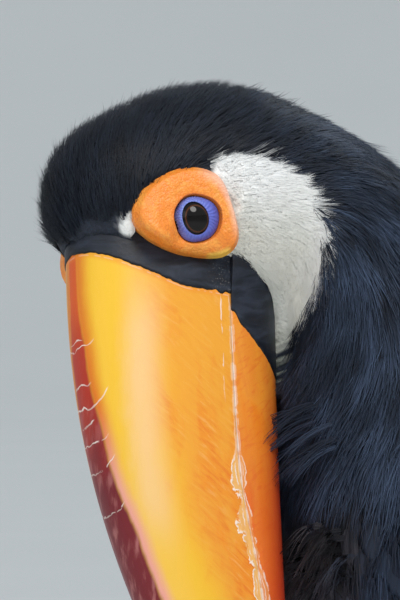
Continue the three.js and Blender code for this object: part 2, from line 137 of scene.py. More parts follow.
class Grain:
    """Smooth random variation through space, the same on each run."""

    CELLS = 32

    def __init__(self, seed: int) -> None:
        """Draws the values at the corners of the cells."""
        self.corners = np.random.default_rng(seed).random((self.CELLS,) * 3)

    def at(self, points: Array, size: float | tuple) -> Array:
        """Reads the variation at some points.

        Args:
            points: Places, in a list or a grid.
            size: The size of a cell along each axis.

        Returns:
            A value from -1 to 1 for each point.
        """
        spot = np.asarray(points, float) / size
        cell = np.floor(spot).astype(int)
        part = spot - cell
        part = part * part * (3 - 2 * part)
        total = np.zeros(spot.shape[:-1])
        for corner in np.ndindex(2, 2, 2):
            index = np.moveaxis((cell + corner) % self.CELLS, -1, 0)
            weight = np.prod(np.where(corner, part, 1 - part), axis=-1)
            total += weight * self.corners[tuple(index)]
        return 2 * total - 1

    def deep(self, points: Array, size: float, layers: int = 3) -> Array:
        """Variation with finer variation on top of it."""
        total = sum(self.at(points + 7.3 * k, size / 2**k) / 2**k for k in range(layers))
        return total / sum(0.5**k for k in range(layers))


# ---------------------------------------------------------------- meshes
def xyz(x: Array | float, y: Array | float, z: Array | float = 0.0) -> Array:
    """Places put together from three values, each spread over the shape of the others."""
    return np.stack(np.broadcast_arrays(x, y, z), -1)


def laid(start: Array, *steps: tuple[Array, Array]) -> Array:
    """Places reached from a start by going some distances along some ways."""
    return start + sum(far[..., None] * way for far, way in steps)


def widened(grid: Array, columns: int, fill: float = 0.0) -> Array:
    """A grid with more columns, all of one value."""
    return np.pad(grid, ((0, 0), (0, columns)), constant_values=fill)


def set_points(mesh: Mesh, points: Array) -> None:
    """Moves a mesh's points to some places in millimetres."""
    mesh.vertices.foreach_set("co", (points * MM).astype(np.float32).ravel())


def set_traits(mesh: Mesh, traits: dict[str, Array]) -> None:
    """Writes values for each point of a mesh, one number or three."""
    for key, values in traits.items():
        kind, slot = ("FLOAT", "value") if values.ndim == 1 else ("FLOAT_VECTOR", "vector")
        trait = mesh.attributes.new(key, kind, "POINT")
        trait.data.foreach_set(slot, values.astype(np.float32).ravel())


@dataclass
class Shell:
    """Faces and corners being gathered for one mesh.

    Attributes:
        points: Places in millimetres.
        faces: Arrays of corner numbers, three or four to a row.
        traits: Values for each point, read by the finishes.
        spots: Places of each point on a flat map, by the map's name.
        looks: The way that each point's face looks, where it isn't the mesh's own.
    """

    points: Array
    faces: list[Array]
    traits: dict[str, Array] = field(default_factory=dict)
    spots: dict[str, Array] = field(default_factory=dict)
    looks: Array | None = None

    @staticmethod
    def joined(shells: list["Shell"]) -> "Shell":
        """One shell with all the parts of several."""
        starts = np.cumsum([0] + [len(s.points) for s in shells[:-1]])
        faces = [f + start for s, start in zip(shells, starts) for f in s.faces]
        traits = {k: np.concatenate([s.traits[k] for s in shells]) for k in shells[0].traits}
        spots = {k: np.concatenate([s.spots[k] for s in shells]) for k in shells[0].spots}
        return Shell(np.concatenate([s.points for s in shells]), faces, traits, spots)

    def mesh(self, name: str) -> Mesh:
        """Makes the Blender mesh, in metres."""
        mesh = bpy.data.meshes.new(name)
        mesh.vertices.add(len(self.points))
        set_points(mesh, self.points)
        corners = np.concatenate([f.ravel() for f in self.faces]).astype(np.int32)
        counts = np.concatenate([np.full(len(f), f.shape[1]) for f in self.faces])
        starts = np.concatenate([[0], np.cumsum(counts)[:-1]]).astype(np.int32)
        mesh.loops.add(len(corners))
        mesh.loops.foreach_set("vertex_index", corners)
        mesh.polygons.add(len(counts))
        mesh.polygons.foreach_set("loop_start", starts)
        mesh.update(calc_edges=True)
        mesh.shade_smooth()
        set_traits(mesh, self.traits)
        for key, places in self.spots.items():
            layer = mesh.uv_layers.new(name=key)
            layer.data.foreach_set("uv", places[corners].astype(np.float32).ravel())
        if self.looks is not None:
            mesh.normals_split_custom_set_from_vertices(self.looks.tolist())
        return mesh

    def piece(self, name: str, finish: Finish) -> Piece:
        """Makes the object and gives it its finish."""
        return place_mesh(name, self.mesh(name), finish)


def place_mesh(name: str, mesh: Mesh, finish: Finish) -> Piece:
    """Puts a mesh in the scene under a name, with one finish."""
    mesh.materials.clear()
    mesh.materials.append(finish)
    piece = bpy.data.objects.new(name, mesh)
    bpy.context.scene.collection.objects.link(piece)
    return piece


def fit(piece: Piece, slot: str, *nodes: str) -> None:
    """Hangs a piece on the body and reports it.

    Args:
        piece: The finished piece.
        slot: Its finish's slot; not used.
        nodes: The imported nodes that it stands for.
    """
    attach(piece, BODY)
    if nodes:
        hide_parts(*nodes)
    LOG.info("%s: %d faces", piece.name, len(piece.data.polygons))


def grid_faces(rows: int, columns: int, ring: bool = True) -> Array:
    """Quads over a grid of points given row by row, closed round each row if it is a ring."""
    last = columns if ring else columns - 1
    row, column = np.meshgrid(np.arange(rows - 1), np.arange(last), indexing="ij")
    here = row * columns + column
    beside = row * columns + (column + 1) % columns
    return np.stack([here, beside, beside + columns, here + columns], -1).reshape(-1, 4)


def ring_body(rings: Array, traits: dict[str, Array] | None = None) -> Shell:
    """A closed body from rings of points, with a point at the middle of each end.

    Args:
        rings: Places, as rings x points x 3.
        traits: Values for each of those places, each ring or each point of a ring, if any.

    Returns:
        The body, turned so that its faces look outwards.
    """
    count, around = rings.shape[:2]
    points = np.concatenate([rings.reshape(-1, 3), rings[0].mean(0)[None], rings[-1].mean(0)[None]])
    step = np.arange(around)
    after = (step + 1) % around
    first = np.stack([after, step, np.full(around, count * around)], -1)
    base = (count - 1) * around
    last = np.stack([base + step, base + after, np.full(around, count * around + 1)], -1)
    faces = [grid_faces(count, around), first, last]
    tri = np.concatenate([faces[0][:, [0, 1, 2]], faces[0][:, [0, 2, 3]], first, last])
    a, b, c = (points[tri[:, k]] - points.mean(0) for k in range(3))
    if np.einsum("ij,ij->i", a, np.cross(b, c)).sum() < 0:
        faces = [f[:, ::-1] for f in faces]
    full = {}
    for key, values in (traits or {}).items():
        grid = np.broadcast_to(values, (count, around) + values.shape[2:])
        flat = grid.reshape((-1,) + values.shape[2:])
        full[key] = np.concatenate([flat, grid[:1].mean(1), grid[-1:].mean(1)])
    return Shell(points, faces, full)


# ---------------------------------------------------------------- finishes
class Nodes:
    """A tree of nodes being wired: makes nodes and gives them their values or links."""

    def __init__(self, tree: bpy.types.NodeTree) -> None:
        """Takes the tree."""
        self.tree = tree

    def node(self, kind: str, settings: dict | None = None, output: str | int = 0,
             **sockets: object) -> "Wire":
        """Makes a node.

        Args:
            kind: The node's type.
            settings: Its own properties, set before its sockets.
            output: The output that is wanted.
            sockets: A value or a wire for each input, by name or as _ and its number.

        Returns:
            That output.
        """
        made = self.tree.nodes.new(kind)
        for key, value in (settings or {}).items():
            setattr(made, key, value)
        for key, value in sockets.items():
            inner = made.inputs[int(key[1:]) if key[0] == "_" else key.replace("_", " ")]
            if isinstance(value, Wire):
                self.tree.links.new(value.socket, inner)
            elif inner.type == "RGBA" and len(value) == 3:
                inner.default_value = (*value, 1.0)
            else:
                inner.default_value = value
        return Wire(self, made, output)


class Graph(Nodes):
    """A material being wired."""

    def __init__(self, name: str) -> None:
        """Starts an empty material."""
        self.material = bpy.data.materials.new(name)
        self.material.use_nodes = True
        super().__init__(self.material.node_tree)
        self.tree.nodes.clear()

    def trait(self, name: str) -> "Wire":
        """A value that the mesh carries for each point."""
        return self.node("ShaderNodeAttribute", {"attribute_name": name}, "Fac")

    def place(self) -> "Wire":
        """The place on the object."""
        return self.node("ShaderNodeTexCoord", None, "Object")

    def joined(self, x: object, y: object) -> "Wire":
        """A place put together from two values."""
        return self.node("ShaderNodeCombineXYZ", X=x, Y=y)

    def scaled(self, place: "Wire", x: float, y: float, z: float) -> "Wire":
        """A place drawn out differently along each axis."""
        return self.node("ShaderNodeMapping", Vector=place, Scale=(x, y, z))

    def noise(self, place: "Wire", scale: float, detail: float = 2.0, twist: float = 0.0) -> "Wire":
        """Cloudy variation from 0 to 1."""
        return self.node("ShaderNodeTexNoise", Vector=place, Scale=scale, Detail=detail, Distortion=twist)

    def cells(self, place: "Wire", scale: float) -> "Wire":
        """The distance to the nearest of many scattered spots."""
        return self.node("ShaderNodeTexVoronoi", None, "Distance", Vector=place, Scale=scale)

    def ramp(self, value: "Wire", low: float, high: float) -> "Wire":
        """A smooth step from 0 at low to 1 at high."""
        smooth = {"interpolation_type": "SMOOTHSTEP"}
        return self.node("ShaderNodeMapRange", smooth, _0=value, _1=low, _2=high)

    def blend(self, first: object, second: object, share: object) -> "Wire":
        """Mixes two colours."""
        return self.node("ShaderNodeMix", {"data_type": "RGBA"}, 2, _0=share, _6=first, _7=second)

    def paint(self, first: object, second: object, share: object) -> "Paint":
        """Starts a colour that others go over."""
        return Paint(self, self.blend(first, second, share))

    def bump(self, height: "Wire", depth: float, strength: float = 1.0) -> "Wire":
        """A normal that follows a height; depth is in metres."""
        return self.node("ShaderNodeBump", Height=height, Distance=depth, Strength=strength)

    def skin(self, **sockets: object) -> Finish:
        """Ends the material with its surface."""
        self.node("ShaderNodeOutputMaterial", Surface=self.node("ShaderNodeBsdfPrincipled", **sockets))
        return self.material


@dataclass(frozen=True)
class Wire:
    """An output of a node, which can be used in sums."""

    nodes: Nodes
    node: bpy.types.Node
    output: str | int = 0

    @property
    def socket(self) -> bpy.types.NodeSocket:
        """The socket itself."""
        return self.node.outputs[self.output]

    def _sum(self, kind: str, first: object, second: object) -> "Wire":
        """Adds a Math node for one step of a sum."""
        return self.nodes.node("ShaderNodeMath", {"operation": kind}, _0=first, _1=second)

    def maths(self, kind: str, other: object = 0.0) -> "Wire":
        """One step of maths by its own name."""
        return self._sum(kind, self, other)

    def __add__(self, other: object) -> "Wire":
        """self + other."""
        return self._sum("ADD", self, other)

    def __radd__(self, other: object) -> "Wire":
        """other + self."""
        return self._sum("ADD", other, self)

    def __sub__(self, other: object) -> "Wire":
        """self - other."""
        return self._sum("SUBTRACT", self, other)

    def __rsub__(self, other: object) -> "Wire":
        """other - self."""
        return self._sum("SUBTRACT", other, self)

    def __mul__(self, other: object) -> "Wire":
        """self * other."""
        return self._sum("MULTIPLY", self, other)

    def __rmul__(self, other: object) -> "Wire":
        """other * self."""
        return self._sum("MULTIPLY", other, self)

    def __pow__(self, other: object) -> "Wire":
        """self ** other."""
        return self._sum("POWER", self, other)

    def size(self) -> "Wire":
        """The value without its sign."""
        return self.maths("ABSOLUTE")

    def larger(self, other: object) -> "Wire":
        """The larger of two values."""
        return self.maths("MAXIMUM", other)

    def smaller(self, other: object) -> "Wire":
        """The smaller of two values."""
        return self.maths("MINIMUM", other)


@dataclass
class Paint:
    """A colour that is built up layer by layer."""

    graph: Graph
    colour: Wire

    def over(self, colour: object, share: object) -> None:
        """Lays a colour over the ones before it."""
        self.colour = self.graph.blend(self.colour, colour, share)

    def under(self, colour: object, share: object) -> None:
        """Lays a colour under the ones before it, which keep the share."""
        self.colour = self.graph.blend(colour, self.colour, share)


# ---------------------------------------------------------------- the bird's frame and markings
@dataclass(frozen=True)
class Head:
    """The head's axes: a point is given forward of, above and to the left of the eyes' middle.

    Attributes:
        eyes: The middle point between the eyes.
        forward: The way that the bill points.
        crown: The way to the top of the head.
        left: The way to the bird's left.
        shift: From the standing bird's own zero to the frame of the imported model.
    """

    eyes: Array
    forward: Array
    crown: Array
    left: Array
    shift: Array

    BILL_WAY = (0.35, 0.0, -0.94)
    EYE_FORWARD = -0.5
    EYE_UP = 0.5
    EYE_OUT = 22.6
    EYE_RADIUS = 8.2
    EYES_STAND = (20.0, -95.0, 232.0)

    @classmethod
    def found(cls) -> "Head":
        """Works the head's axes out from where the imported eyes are."""
        middles = [sum(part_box(f"eye_{side.word}"), Vector()) / 2 / MM for side in Side]
        left = unit(np.array(middles[0] - middles[1]))
        forward = unit(np.array(cls.BILL_WAY))
        crown = np.cross(forward, left)
        middle = np.array(middles[0] + middles[1]) / 2
        eyes = middle - cls.EYE_FORWARD * forward - cls.EYE_UP * crown
        return cls(eyes, forward, crown, left, eyes - np.array(cls.EYES_STAND))

    @property
    def axes(self) -> Array:
        """The three ways, one a row."""
        return np.stack([self.forward, self.crown, self.left])

    def point(self, places: Array) -> Array:
        """Places given forward, up and left, as places in the model's frame."""
        return self.eyes + np.asarray(places, float) @ self.axes

    def way(self, ways: Array) -> Array:
        """Directions given forward, up and left, as directions in the model's frame."""
        return np.asarray(ways, float) @ self.axes

    def measure(self, points: Array) -> Array:
        """How far forward, up and left each point is."""
        return (points - self.eyes) @ self.axes.T

    def stand(self, points: Array) -> Array:
        """Points in the standing bird's own frame."""
        return points - self.shift


@dataclass(frozen=True)
class Orbit:
    """The outline of the bare skin round an eye, seen along the eye's own axis.

    Attributes:
        gaze: That axis, forward, up and outward of the head.
        reach: The outline's radius behind the eye.
        peak: How much further it goes above the eye.
        front: How far forward it goes, under the bill's edge.
        taper: How the front edge draws back above the eye.
        low: How far down it goes under the eye.
        fall: How the lower edge slopes down towards the gape.
        soft: How round its corners are.
    """

    gaze: tuple = (0.284, 0.27, 0.92)
    reach: float = 15.1
    peak: float = 3.2
    front: float = 10.7
    taper: float = 0.017
    low: float = 12.8
    fall: float = 0.36
    soft: float = 1.2

    def ways(self) -> Array:
        """The forward, upward and outward ways round the left eye, in the head's axes."""
        out = unit(np.array(self.gaze))
        ahead = unit(np.array([1, 0, 0]) - out[0] * out)
        return np.stack([ahead, np.cross(out, ahead), out])

    def seen(self, places: Array) -> Array:
        """Places in the head's axes, as they lie round the left eye."""
        return (places - np.array([Head.EYE_FORWARD, Head.EYE_UP, Head.EYE_OUT])) @ self.ways().T

    def outside(self, ahead: Array, above: Array) -> Array:
        """How far outside the bare skin a place is, less than 0 inside it.

        Args:
            ahead: How far forward of the eye's axis.
            above: How far above it.

        Returns:
            The distance outside the outline.
        """
        off = np.hypot(ahead, above)
        peak = self.peak * (np.maximum(above, 0) / np.maximum(off, 1)) ** 5
        edges = np.stack([
            off - self.reach - peak,
            ahead - self.front + self.taper * np.maximum(above + 2, 0) ** 2,
            (-above - self.low - self.fall * ahead) / math.hypot(1, self.fall),
        ])
        top = edges.max(0)
        return top + self.soft * np.log(np.exp((edges - top) / self.soft).sum(0)) - 0.3 * self.soft


@dataclass(frozen=True)
class Markings:
    """Where each colour of the plumage lies: depths in millimetres, above 0 inside an area."""

    head: Head
    orbit: Orbit = Orbit()
    cheek: tuple = (-68.0, 231.0)
    cheek_half: float = 28.5
    cheek_above: float = 29.0
    cheek_below: float = 34.0
    bib: tuple = (4.0, 218.0)
    bib_half: tuple = (38.0, 46.0)
    red_band: float = 6.0
    trunk: tuple = (0.0, 8.0, 130.0)
    trunk_slope: float = 42.0
    tail: tuple = (0.0, 72.0, 80.0)
    tail_slope: float = 23.0
    wing_bend: tuple = (0.0, -46.0, 130.0)

    def _mirrored(self, points: Array) -> tuple[Array, Array]:
        """Every point as if it were on the left: in the head's axes and the standing frame."""
        seen = self.head.measure(points)
        seen[:, 2] = np.abs(seen[:, 2])
        return seen, self.head.stand(self.head.point(seen))

    def bare(self, points: Array) -> Array:
        """How deep inside the bare skin round an eye."""
        seen, _ = self._mirrored(points)
        round_eye = self.orbit.seen(seen)
        return np.where(seen[:, 2] > 12, -self.orbit.outside(*round_eye.T[:2]), -50.0)

    def feather_line(self, up: Array) -> Array:
        """How far forward the feathers of the cheek and the chin reach over the bill's base."""
        below = 9 + 0.6 * np.maximum(-up - 17.5, 0) + 0.6 * np.exp((-up - 31) / 2.2)
        below = np.minimum(below, 44.0)
        return mix(mix(below, 2.5, ease(-12.5, -9.5, up)), 60.0, ease(16.5, 19.0, up))

    def _bib(self, points: Array) -> Array:
        """How deep inside the outline of the bib on the throat."""
        stand = self.head.stand(points)
        across = (stand[:, 0] - self.bib[0]) / self.bib_half[0]
        down = (stand[:, 2] - self.bib[1]) / self.bib_half[1]
        depth = (1 - np.hypot(across, down)) * self.bib_half[0]
        ahead, up, out = self.head.measure(points).T
        depth = np.minimum(depth, 31 + 60 * ease(5, -6, out) - ahead)
        return np.minimum(np.minimum(depth, -62 - stand[:, 1]), -20 - up)

    def white(self, points: Array) -> Array:
        """How deep inside the white of the cheeks and the bib."""
        seen, stand = self._mirrored(points)
        along = (stand[:, 1] - self.cheek[0]) / self.cheek_half
        rise = stand[:, 2] - self.cheek[1]
        rise = rise / np.where(rise > 0, self.cheek_above, self.cheek_below)
        cheek = np.minimum((1 - np.hypot(along, rise)) * self.cheek_half, -3 - seen[:, 1])
        far_side = 47 - np.linalg.norm(seen - np.array([-4, -14, 0]), axis=1)
        turned_away = self.head.measure(points)[:, 2] < 0
        cheek = np.where(turned_away, np.minimum(cheek, far_side), cheek)
        lore = 3.1 - np.linalg.norm((seen - np.array([4.4, 20.0, 19.4])) * [0.75, 1.0, 0.8], axis=1)
        return np.maximum(np.maximum(cheek, lore), self._bib(points))

    def band(self, points: Array) -> Array:
        """How deep inside the red line under the bib."""
        bib = self._bib(points)
        stand = self.head.stand(points)
        low = np.minimum(180 - stand[:, 2], 22 - np.abs(stand[:, 0] - self.bib[0]))
        return np.minimum(np.minimum(-bib, bib + self.red_band), low)

    def _behind(self, points: Array) -> tuple[Array, Array]:
        """How far back along the trunk, and how far above the tail's root."""
        stand = self.head.stand(points)
        slope, fall = math.radians(self.trunk_slope), math.radians(self.tail_slope)
        back = (stand - self.trunk) @ np.array([0, math.cos(slope), -math.sin(slope)])
        above = (stand - self.tail) @ np.array([0, math.sin(fall), math.cos(fall)])
        return back, above

    def rump(self, points: Array) -> Array:
        """How deep inside the white over the tail's root."""
        back, above = self._behind(points)
        return np.minimum(back - 52, above - 1)

    def vent(self, points: Array) -> Array:
        """How deep inside the red under the tail's root."""
        back, above = self._behind(points)
        return np.minimum(back - 52, -1 - above)

    def near_head(self, points: Array) -> Array:
        """The distance from the middle of the skull."""
        return np.linalg.norm(self.head.measure(points) - np.array([-10, 0, 0]), axis=1)

    def traits(self, points: Array) -> dict[str, Array]:
        """The colours' shares at some places, for the skin and the coat alike, with those of painted shade
        and painted sheen.

        Args:
            points: The places.

        Returns:
            Each finish value's numbers, by its name.
        """
        seen, stand = self.head.measure(points), self.head.stand(points)
        rump = self.rump(points)
        cloud = Grain(Seed.CLOUDS).deep(points, 9.0)
        clump = Grain(Seed.CLUMPS).at(points * [1.0, 1.0, 0.45], 4.0)
        cream = 0.7 * ease(256, 228, stand[:, 2] + 5 * cloud) * ease(-40, -52, stand[:, 1] + 4 * cloud)
        cream = cream * (seen[:, 1] < 0)
        # Painted shade: the white darkens to grey-green towards its lower end, where shade falls; above the
        # eyes' line it takes a small fixed share, and none over the rump.
        dusk = 0.95 * ease(211, 194, stand[:, 2] + 3 * cloud)
        cream = np.where(rump > 0, 0.1, cream)
        dusk = np.where(rump > 0, 0.0, np.where(seen[:, 1] > 0, 0.12, dusk))
        # Painted sheen: how far the black is lightened to slate, low on the head, highest down the neck and
        # breast, in clouds and clumps, weaker far back on the body.
        glow = 0.10 + 0.62 * ease(28, 86, self.near_head(points)) * (0.75 + 0.9 * cloud)
        glow = glow * (1 - 0.45 * ease(130, 165, self.near_head(points)))
        glow = np.clip(glow * (1 + 0.8 * clump), 0.03, 1)
        bend = np.linalg.norm((stand - self.wing_bend) * [0, 1.0, 0.9], axis=1)
        brown = ease(22, 8, bend + 8 * cloud) * 0.8 * ease(14, 26, np.abs(stand[:, 0]))
        return {"white": ease(-0.6, 0.6, np.maximum(self.white(points), rump)), "brown": brown,
                "red": ease(-0.6, 0.6, np.maximum(self.band(points), self.vent(points))),
                "cream": cream, "dusk": dusk, "glow": glow}


@dataclass(frozen=True)
class Guide:
    """A place, the way that the feathers lie there, and how far round it that holds."""

    place: tuple
    way: tuple
    reach: float = 30.0

    def turned(self, sides: tuple) -> "Guide":
        """The same guide on another side, by the signs of its axes."""
        place, way = np.array(self.place) * sides, np.array(self.way) * sides
        return Guide(tuple(place), tuple(way), self.reach)


@dataclass(frozen=True)
class Lie:
    """The way that the plumage lies, blended between a few guides.

    The guides of the head are given in its own axes, the body's in the standing frame, and those
    of the sides on the left.
    """

    head: Head

    HEAD_MIDDLE = (
        Guide((14, 30, 0), (-1.0, 0.35, 0), 14.0),
        Guide((-6, 34, 0), (-1.0, 0.05, 0), 16.0),
        Guide((-24, 26, 0), (-0.9, -0.55, 0), 18.0),
        Guide((-36, 4, 0), (-0.5, -1.0, 0), 20.0),
    )
    HEAD_SIDE = (
        Guide((8, 24, 18), (-0.9, 0.35, 0.3), 12.0),
        Guide((-14, 20, 20), (-1.0, -0.1, 0), 16.0),
        Guide((-24, -4, 26), (-0.5, -1.0, 0), 18.0),
        Guide((-8, -20, 32), (-0.15, -1.0, 0), 16.0),
        Guide((14, -24, 30), (0.35, -1.0, 0), 16.0),
    )
    BODY_SIDE = (
        Guide((40, -46, 200), (0, -0.25, -1.0), 24),
        Guide((44, -28, 180), (0, -0.3, -1.0), 26),
        Guide((40, -50, 179), (-0.1, -1.0, -0.5), 16),
        Guide((48, -54, 138), (0, -0.6, -0.8), 9),
        Guide((48, -34, 150), (0, -0.1, -1.0), 26),
        Guide((50, 0, 120), (0, 0.6, -0.8), 34),
        Guide((30, 8, 70), (0, 0.15, -1.0), 26),
        Guide((26, -6, 210), (0, 0.5, -0.9), 24),
    )
    BODY_MIDDLE = (
        Guide((0, -58, 190), (0, 0.0, -1.0), 26),
        Guide((0, -48, 150), (0, 0.1, -1.0), 30),
        Guide((0, -30, 100), (0, 0.5, -0.9), 30),
        Guide((0, 10, 68), (0, 0.9, -0.5), 30),
        Guide((0, 0, 212), (0, 0.6, -0.9), 28),
        Guide((0, 30, 176), (0, 0.8, -0.7), 34),
        Guide((0, 66, 120), (0, 0.9, -0.6), 34),
        Guide((0, 90, 80), (0, 0.95, -0.4), 34),
    )

    def _stood(self, guide: Guide) -> Guide:
        """A guide of the head in the standing frame."""
        place = self.head.stand(self.head.point(guide.place))
        return Guide(tuple(place), tuple(self.head.way(guide.way)), guide.reach)

    def guides(self) -> list[Guide]:
        """All the guides in the standing frame, those of the sides on both."""
        on_head, on_body = list(self.HEAD_MIDDLE), []
        for sign in (1, -1):
            on_head += [guide.turned((1, 1, sign)) for guide in self.HEAD_SIDE]
            on_body += [guide.turned((sign, 1, 1)) for guide in self.BODY_SIDE]
        return [self._stood(guide) for guide in on_head] + on_body + list(self.BODY_MIDDLE)

    def at(self, points: Array) -> Array:
        """The way of the feathers at some points, before it is laid on the skin."""
        stand = self.head.stand(points)
        total = np.zeros_like(stand)
        for guide in self.guides():
            gap = np.linalg.norm(stand - np.array(guide.place), axis=1)
            weight = np.exp(-((gap / guide.reach) ** 2)) + 1e-4 / (1 + gap)
            total += weight[:, None] * unit(np.array(guide.way))
        return unit(total)


# ---------------------------------------------------------------- skin
@dataclass
class Skin:
    """The bird's one skin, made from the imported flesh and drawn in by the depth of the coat.

    Attributes:
        voxel: The size of its faces.
        rounds: How often it is evened out.
        head_depth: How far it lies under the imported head.
        trunk_depth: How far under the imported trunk.
        overlap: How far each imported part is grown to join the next.
        inside_bill: How far it lies inside the bill's base.
        socket_depth: How much further it goes in behind the bare skin round the eyes.
        map_turn: How far its faces may turn on one island of its map.
    """

    head: Head
    markings: Markings
    bill: "Bill"
    voxel: float = 1.7
    rounds: int = 10
    head_depth: float = 0.5
    trunk_depth: float = 2.6
    overlap: float = 0.35
    inside_bill: float = 0.9
    socket_depth: float = 6.5
    map_turn: float = math.radians(66)

    FLESH = ("head", "neck", "trunk", "rump", "vent", "thigh_left", "thigh_right", "wing_left",
             "wing_right", "orbital_skin_left", "orbital_skin_right")
    STANDS_FOR = FLESH[:9]

    def _flesh(self) -> Mesh:
        """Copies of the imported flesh, merged and grown a little so that they overlap."""
        whole = bmesh.new()
        for name in self.FLESH:
            part = bmesh.new()
            part.from_mesh(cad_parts[name].data)
            bmesh.ops.remove_doubles(part, verts=part.verts, dist=1e-6)
            part.normal_update()
            for vert in part.verts:
                vert.co += vert.normal * self.overlap * MM
            copy = bpy.data.meshes.new("part")
            part.to_mesh(copy)
            part.free()
            whole.from_mesh(copy)
            bpy.data.meshes.remove(copy)
        mesh = bpy.data.meshes.new("flesh")
        whole.to_mesh(mesh)
        whole.free()
        return mesh

    def build(self, finish: Finish) -> Piece:
        """Makes the skin.

        Args:
            finish: Its material.

        Returns:
            The skin's object.
        """
        raw = bpy.data.objects.new("flesh", self._flesh())
        bpy.context.scene.collection.objects.link(raw)
        remesh = raw.modifiers.new("one", "REMESH")
        remesh.mode = "VOXEL"
        remesh.voxel_size = self.voxel * MM
        relax = raw.modifiers.new("relax", "SMOOTH")
        relax.iterations = self.rounds
        relax.factor = 0.5
        graph = bpy.context.evaluated_depsgraph_get()
        mesh = bpy.data.meshes.new_from_object(raw.evaluated_get(graph))
        bpy.data.objects.remove(raw)
        self._keep_largest(mesh)
        points, outward = self._corners(mesh)
        self.proud = BVHTree.FromPolygons([tuple(p) for p in points],
                                          [tuple(f.vertices) for f in mesh.polygons])
        up = self.head.measure(points)
        near_head = np.linalg.norm(up - np.array([-5, 0, 0]), axis=1)
        depth = mix(self.head_depth, self.trunk_depth, ease(35, 75, near_head))
        depth += self.socket_depth * ease(-1.0, 3.0, self.markings.bare(points))
        points = self._behind_bill(points - outward * depth[:, None])
        set_points(mesh, points)
        mesh.shade_smooth()
        mesh.update()
        set_traits(mesh, self.markings.traits(points))
        self.piece = place_mesh("skin", mesh, finish)
        self._unwrap()
        return self.piece

    def _behind_bill(self, points: Array) -> Array:
        """Draws the skin in under the bill's base, ahead of the line where the feathers end.

        Args:
            points: The skin's places.

        Returns:
            The places, drawn in.
        """
        seen = self.head.measure(points)
        behind = self.markings.feather_line(seen[:, 1]) - seen[:, 0]
        rise, _ = self.bill.section(seen)
        room = self.inside_bill + 0.05 * np.maximum(behind, 0) + 0.12 * ease(0, 2.5, behind)
        room = self.bill.reach_out(seen, room) + 150 * ease(0.93, 1.3, rise)
        room += 400 * ease(60, 72, np.linalg.norm(seen, axis=1)) + 0.5
        seen[:, 2] *= (1 + (np.abs(seen[:, 2]) / room) ** 6) ** (-1 / 6)
        return self.head.point(seen)

    @staticmethod
    def _keep_largest(mesh: Mesh) -> None:
        """Drops all but the largest loose part of a mesh."""
        work = bmesh.new()
        work.from_mesh(mesh)
        left, best = set(work.verts), set()
        while left:
            part, edge = set(), {left.pop()}
            while edge:
                part |= edge
                edge = {v for start in edge for link in start.link_edges for v in link.verts} - part
            left -= part
            best = max(best, part, key=len)
        bmesh.ops.delete(work, geom=[v for v in work.verts if v not in best], context="VERTS")
        work.to_mesh(mesh)
        work.free()

    @staticmethod
    def _corners(mesh: Mesh) -> tuple[Array, Array]:
        """The mesh's points in millimetres and their outward ways."""
        places = np.empty(len(mesh.vertices) * 3, np.float32)
        outward = np.empty_like(places)
        mesh.vertices.foreach_get("co", places)
        mesh.vertices.foreach_get("normal", outward)
        return places.reshape(-1, 3) / MM, outward.reshape(-1, 3).astype(float)

    def _unwrap(self) -> None:
        """Lays the skin out flat and keeps what is needed to seat feathers on it."""
        for other in bpy.context.selected_objects:
            other.select_set(False)
        self.piece.select_set(True)
        bpy.context.view_layer.objects.active = self.piece
        self.piece.data.uv_layers.new(name=BAKE_MAP)
        bpy.ops.object.mode_set(mode="EDIT")
        bpy.ops.mesh.select_all(action="SELECT")
        bpy.ops.uv.smart_project(angle_limit=self.map_turn, island_margin=TUFT_PATCH)
        bpy.ops.object.mode_set(mode="OBJECT")
        mesh = self.piece.data
        self.points, self.outward = self._corners(mesh)
        mesh.calc_loop_triangles()
        count = len(mesh.loop_triangles)
        corners, loops = np.empty(count * 3, np.int32), np.empty(count * 3, np.int32)
        mesh.loop_triangles.foreach_get("vertices", corners)
        mesh.loop_triangles.foreach_get("loops", loops)
        spots = np.empty(len(mesh.loops) * 2, np.float32)
        mesh.uv_layers[BAKE_MAP].data.foreach_get("uv", spots)
        self.corners = corners.reshape(-1, 3)
        self.spots = spots.reshape(-1, 2)[loops.reshape(-1, 3)]
        self.tree = BVHTree.FromPolygons([tuple(p) for p in self.points],
                                         [tuple(c) for c in self.corners.tolist()])

    def spot(self, point: Array) -> Array:
        """The place on the map of the skin nearest to a point."""
        return self.spots[self.tree.find_nearest(Vector(point))[2]].mean(0)

    def seats(self, spacing: float, seed: int) -> "Seats":
        """Scatters roots evenly over the whole skin.

        Args:
            spacing: About how far apart they are.
            seed: Fixes the scatter.

        Returns:
            The roots.
        """
        rng = np.random.default_rng(seed)
        a, b, c = (self.points[self.corners[:, k]] for k in range(3))
        area = np.linalg.norm(np.cross(b - a, c - a), axis=1) / 2
        tries = int(3.2 * area.sum() / spacing**2)
        share = np.cumsum(area, dtype=float) / area.sum(dtype=float)
        pick = np.minimum(np.searchsorted(share, rng.random(tries)), len(area) - 1)
        first, second = rng.random(tries), rng.random(tries)
        over = first + second > 1
        first, second = np.where(over, 1 - first, first), np.where(over, 1 - second, second)
        share = np.stack([1 - first - second, first, second], -1)
        corner = self.corners[pick]
        points = np.einsum("nk,nkj->nj", share, self.points[corner])
        outward = unit(np.einsum("nk,nkj->nj", share, self.outward[corner]))
        spots = np.einsum("nk,nkj->nj", share, self.spots[pick])
        cell = np.floor(points / spacing + 0.5 * np.sin(points[:, [1, 2, 0]] / 9)).astype(int)
        _, keep = np.unique(cell, axis=0, return_index=True)
        return Seats(points[keep], outward[keep], spots[keep])


@dataclass(frozen=True)
class Seats:
    """Roots of feathers: their places, the skin's outward way there and their spots on its map."""

    points: Array
    outward: Array
    spots: Array

    def where(self, keep: Array) -> "Seats":
        """Only some of the roots."""
        return Seats(self.points[keep], self.outward[keep], self.spots[keep])


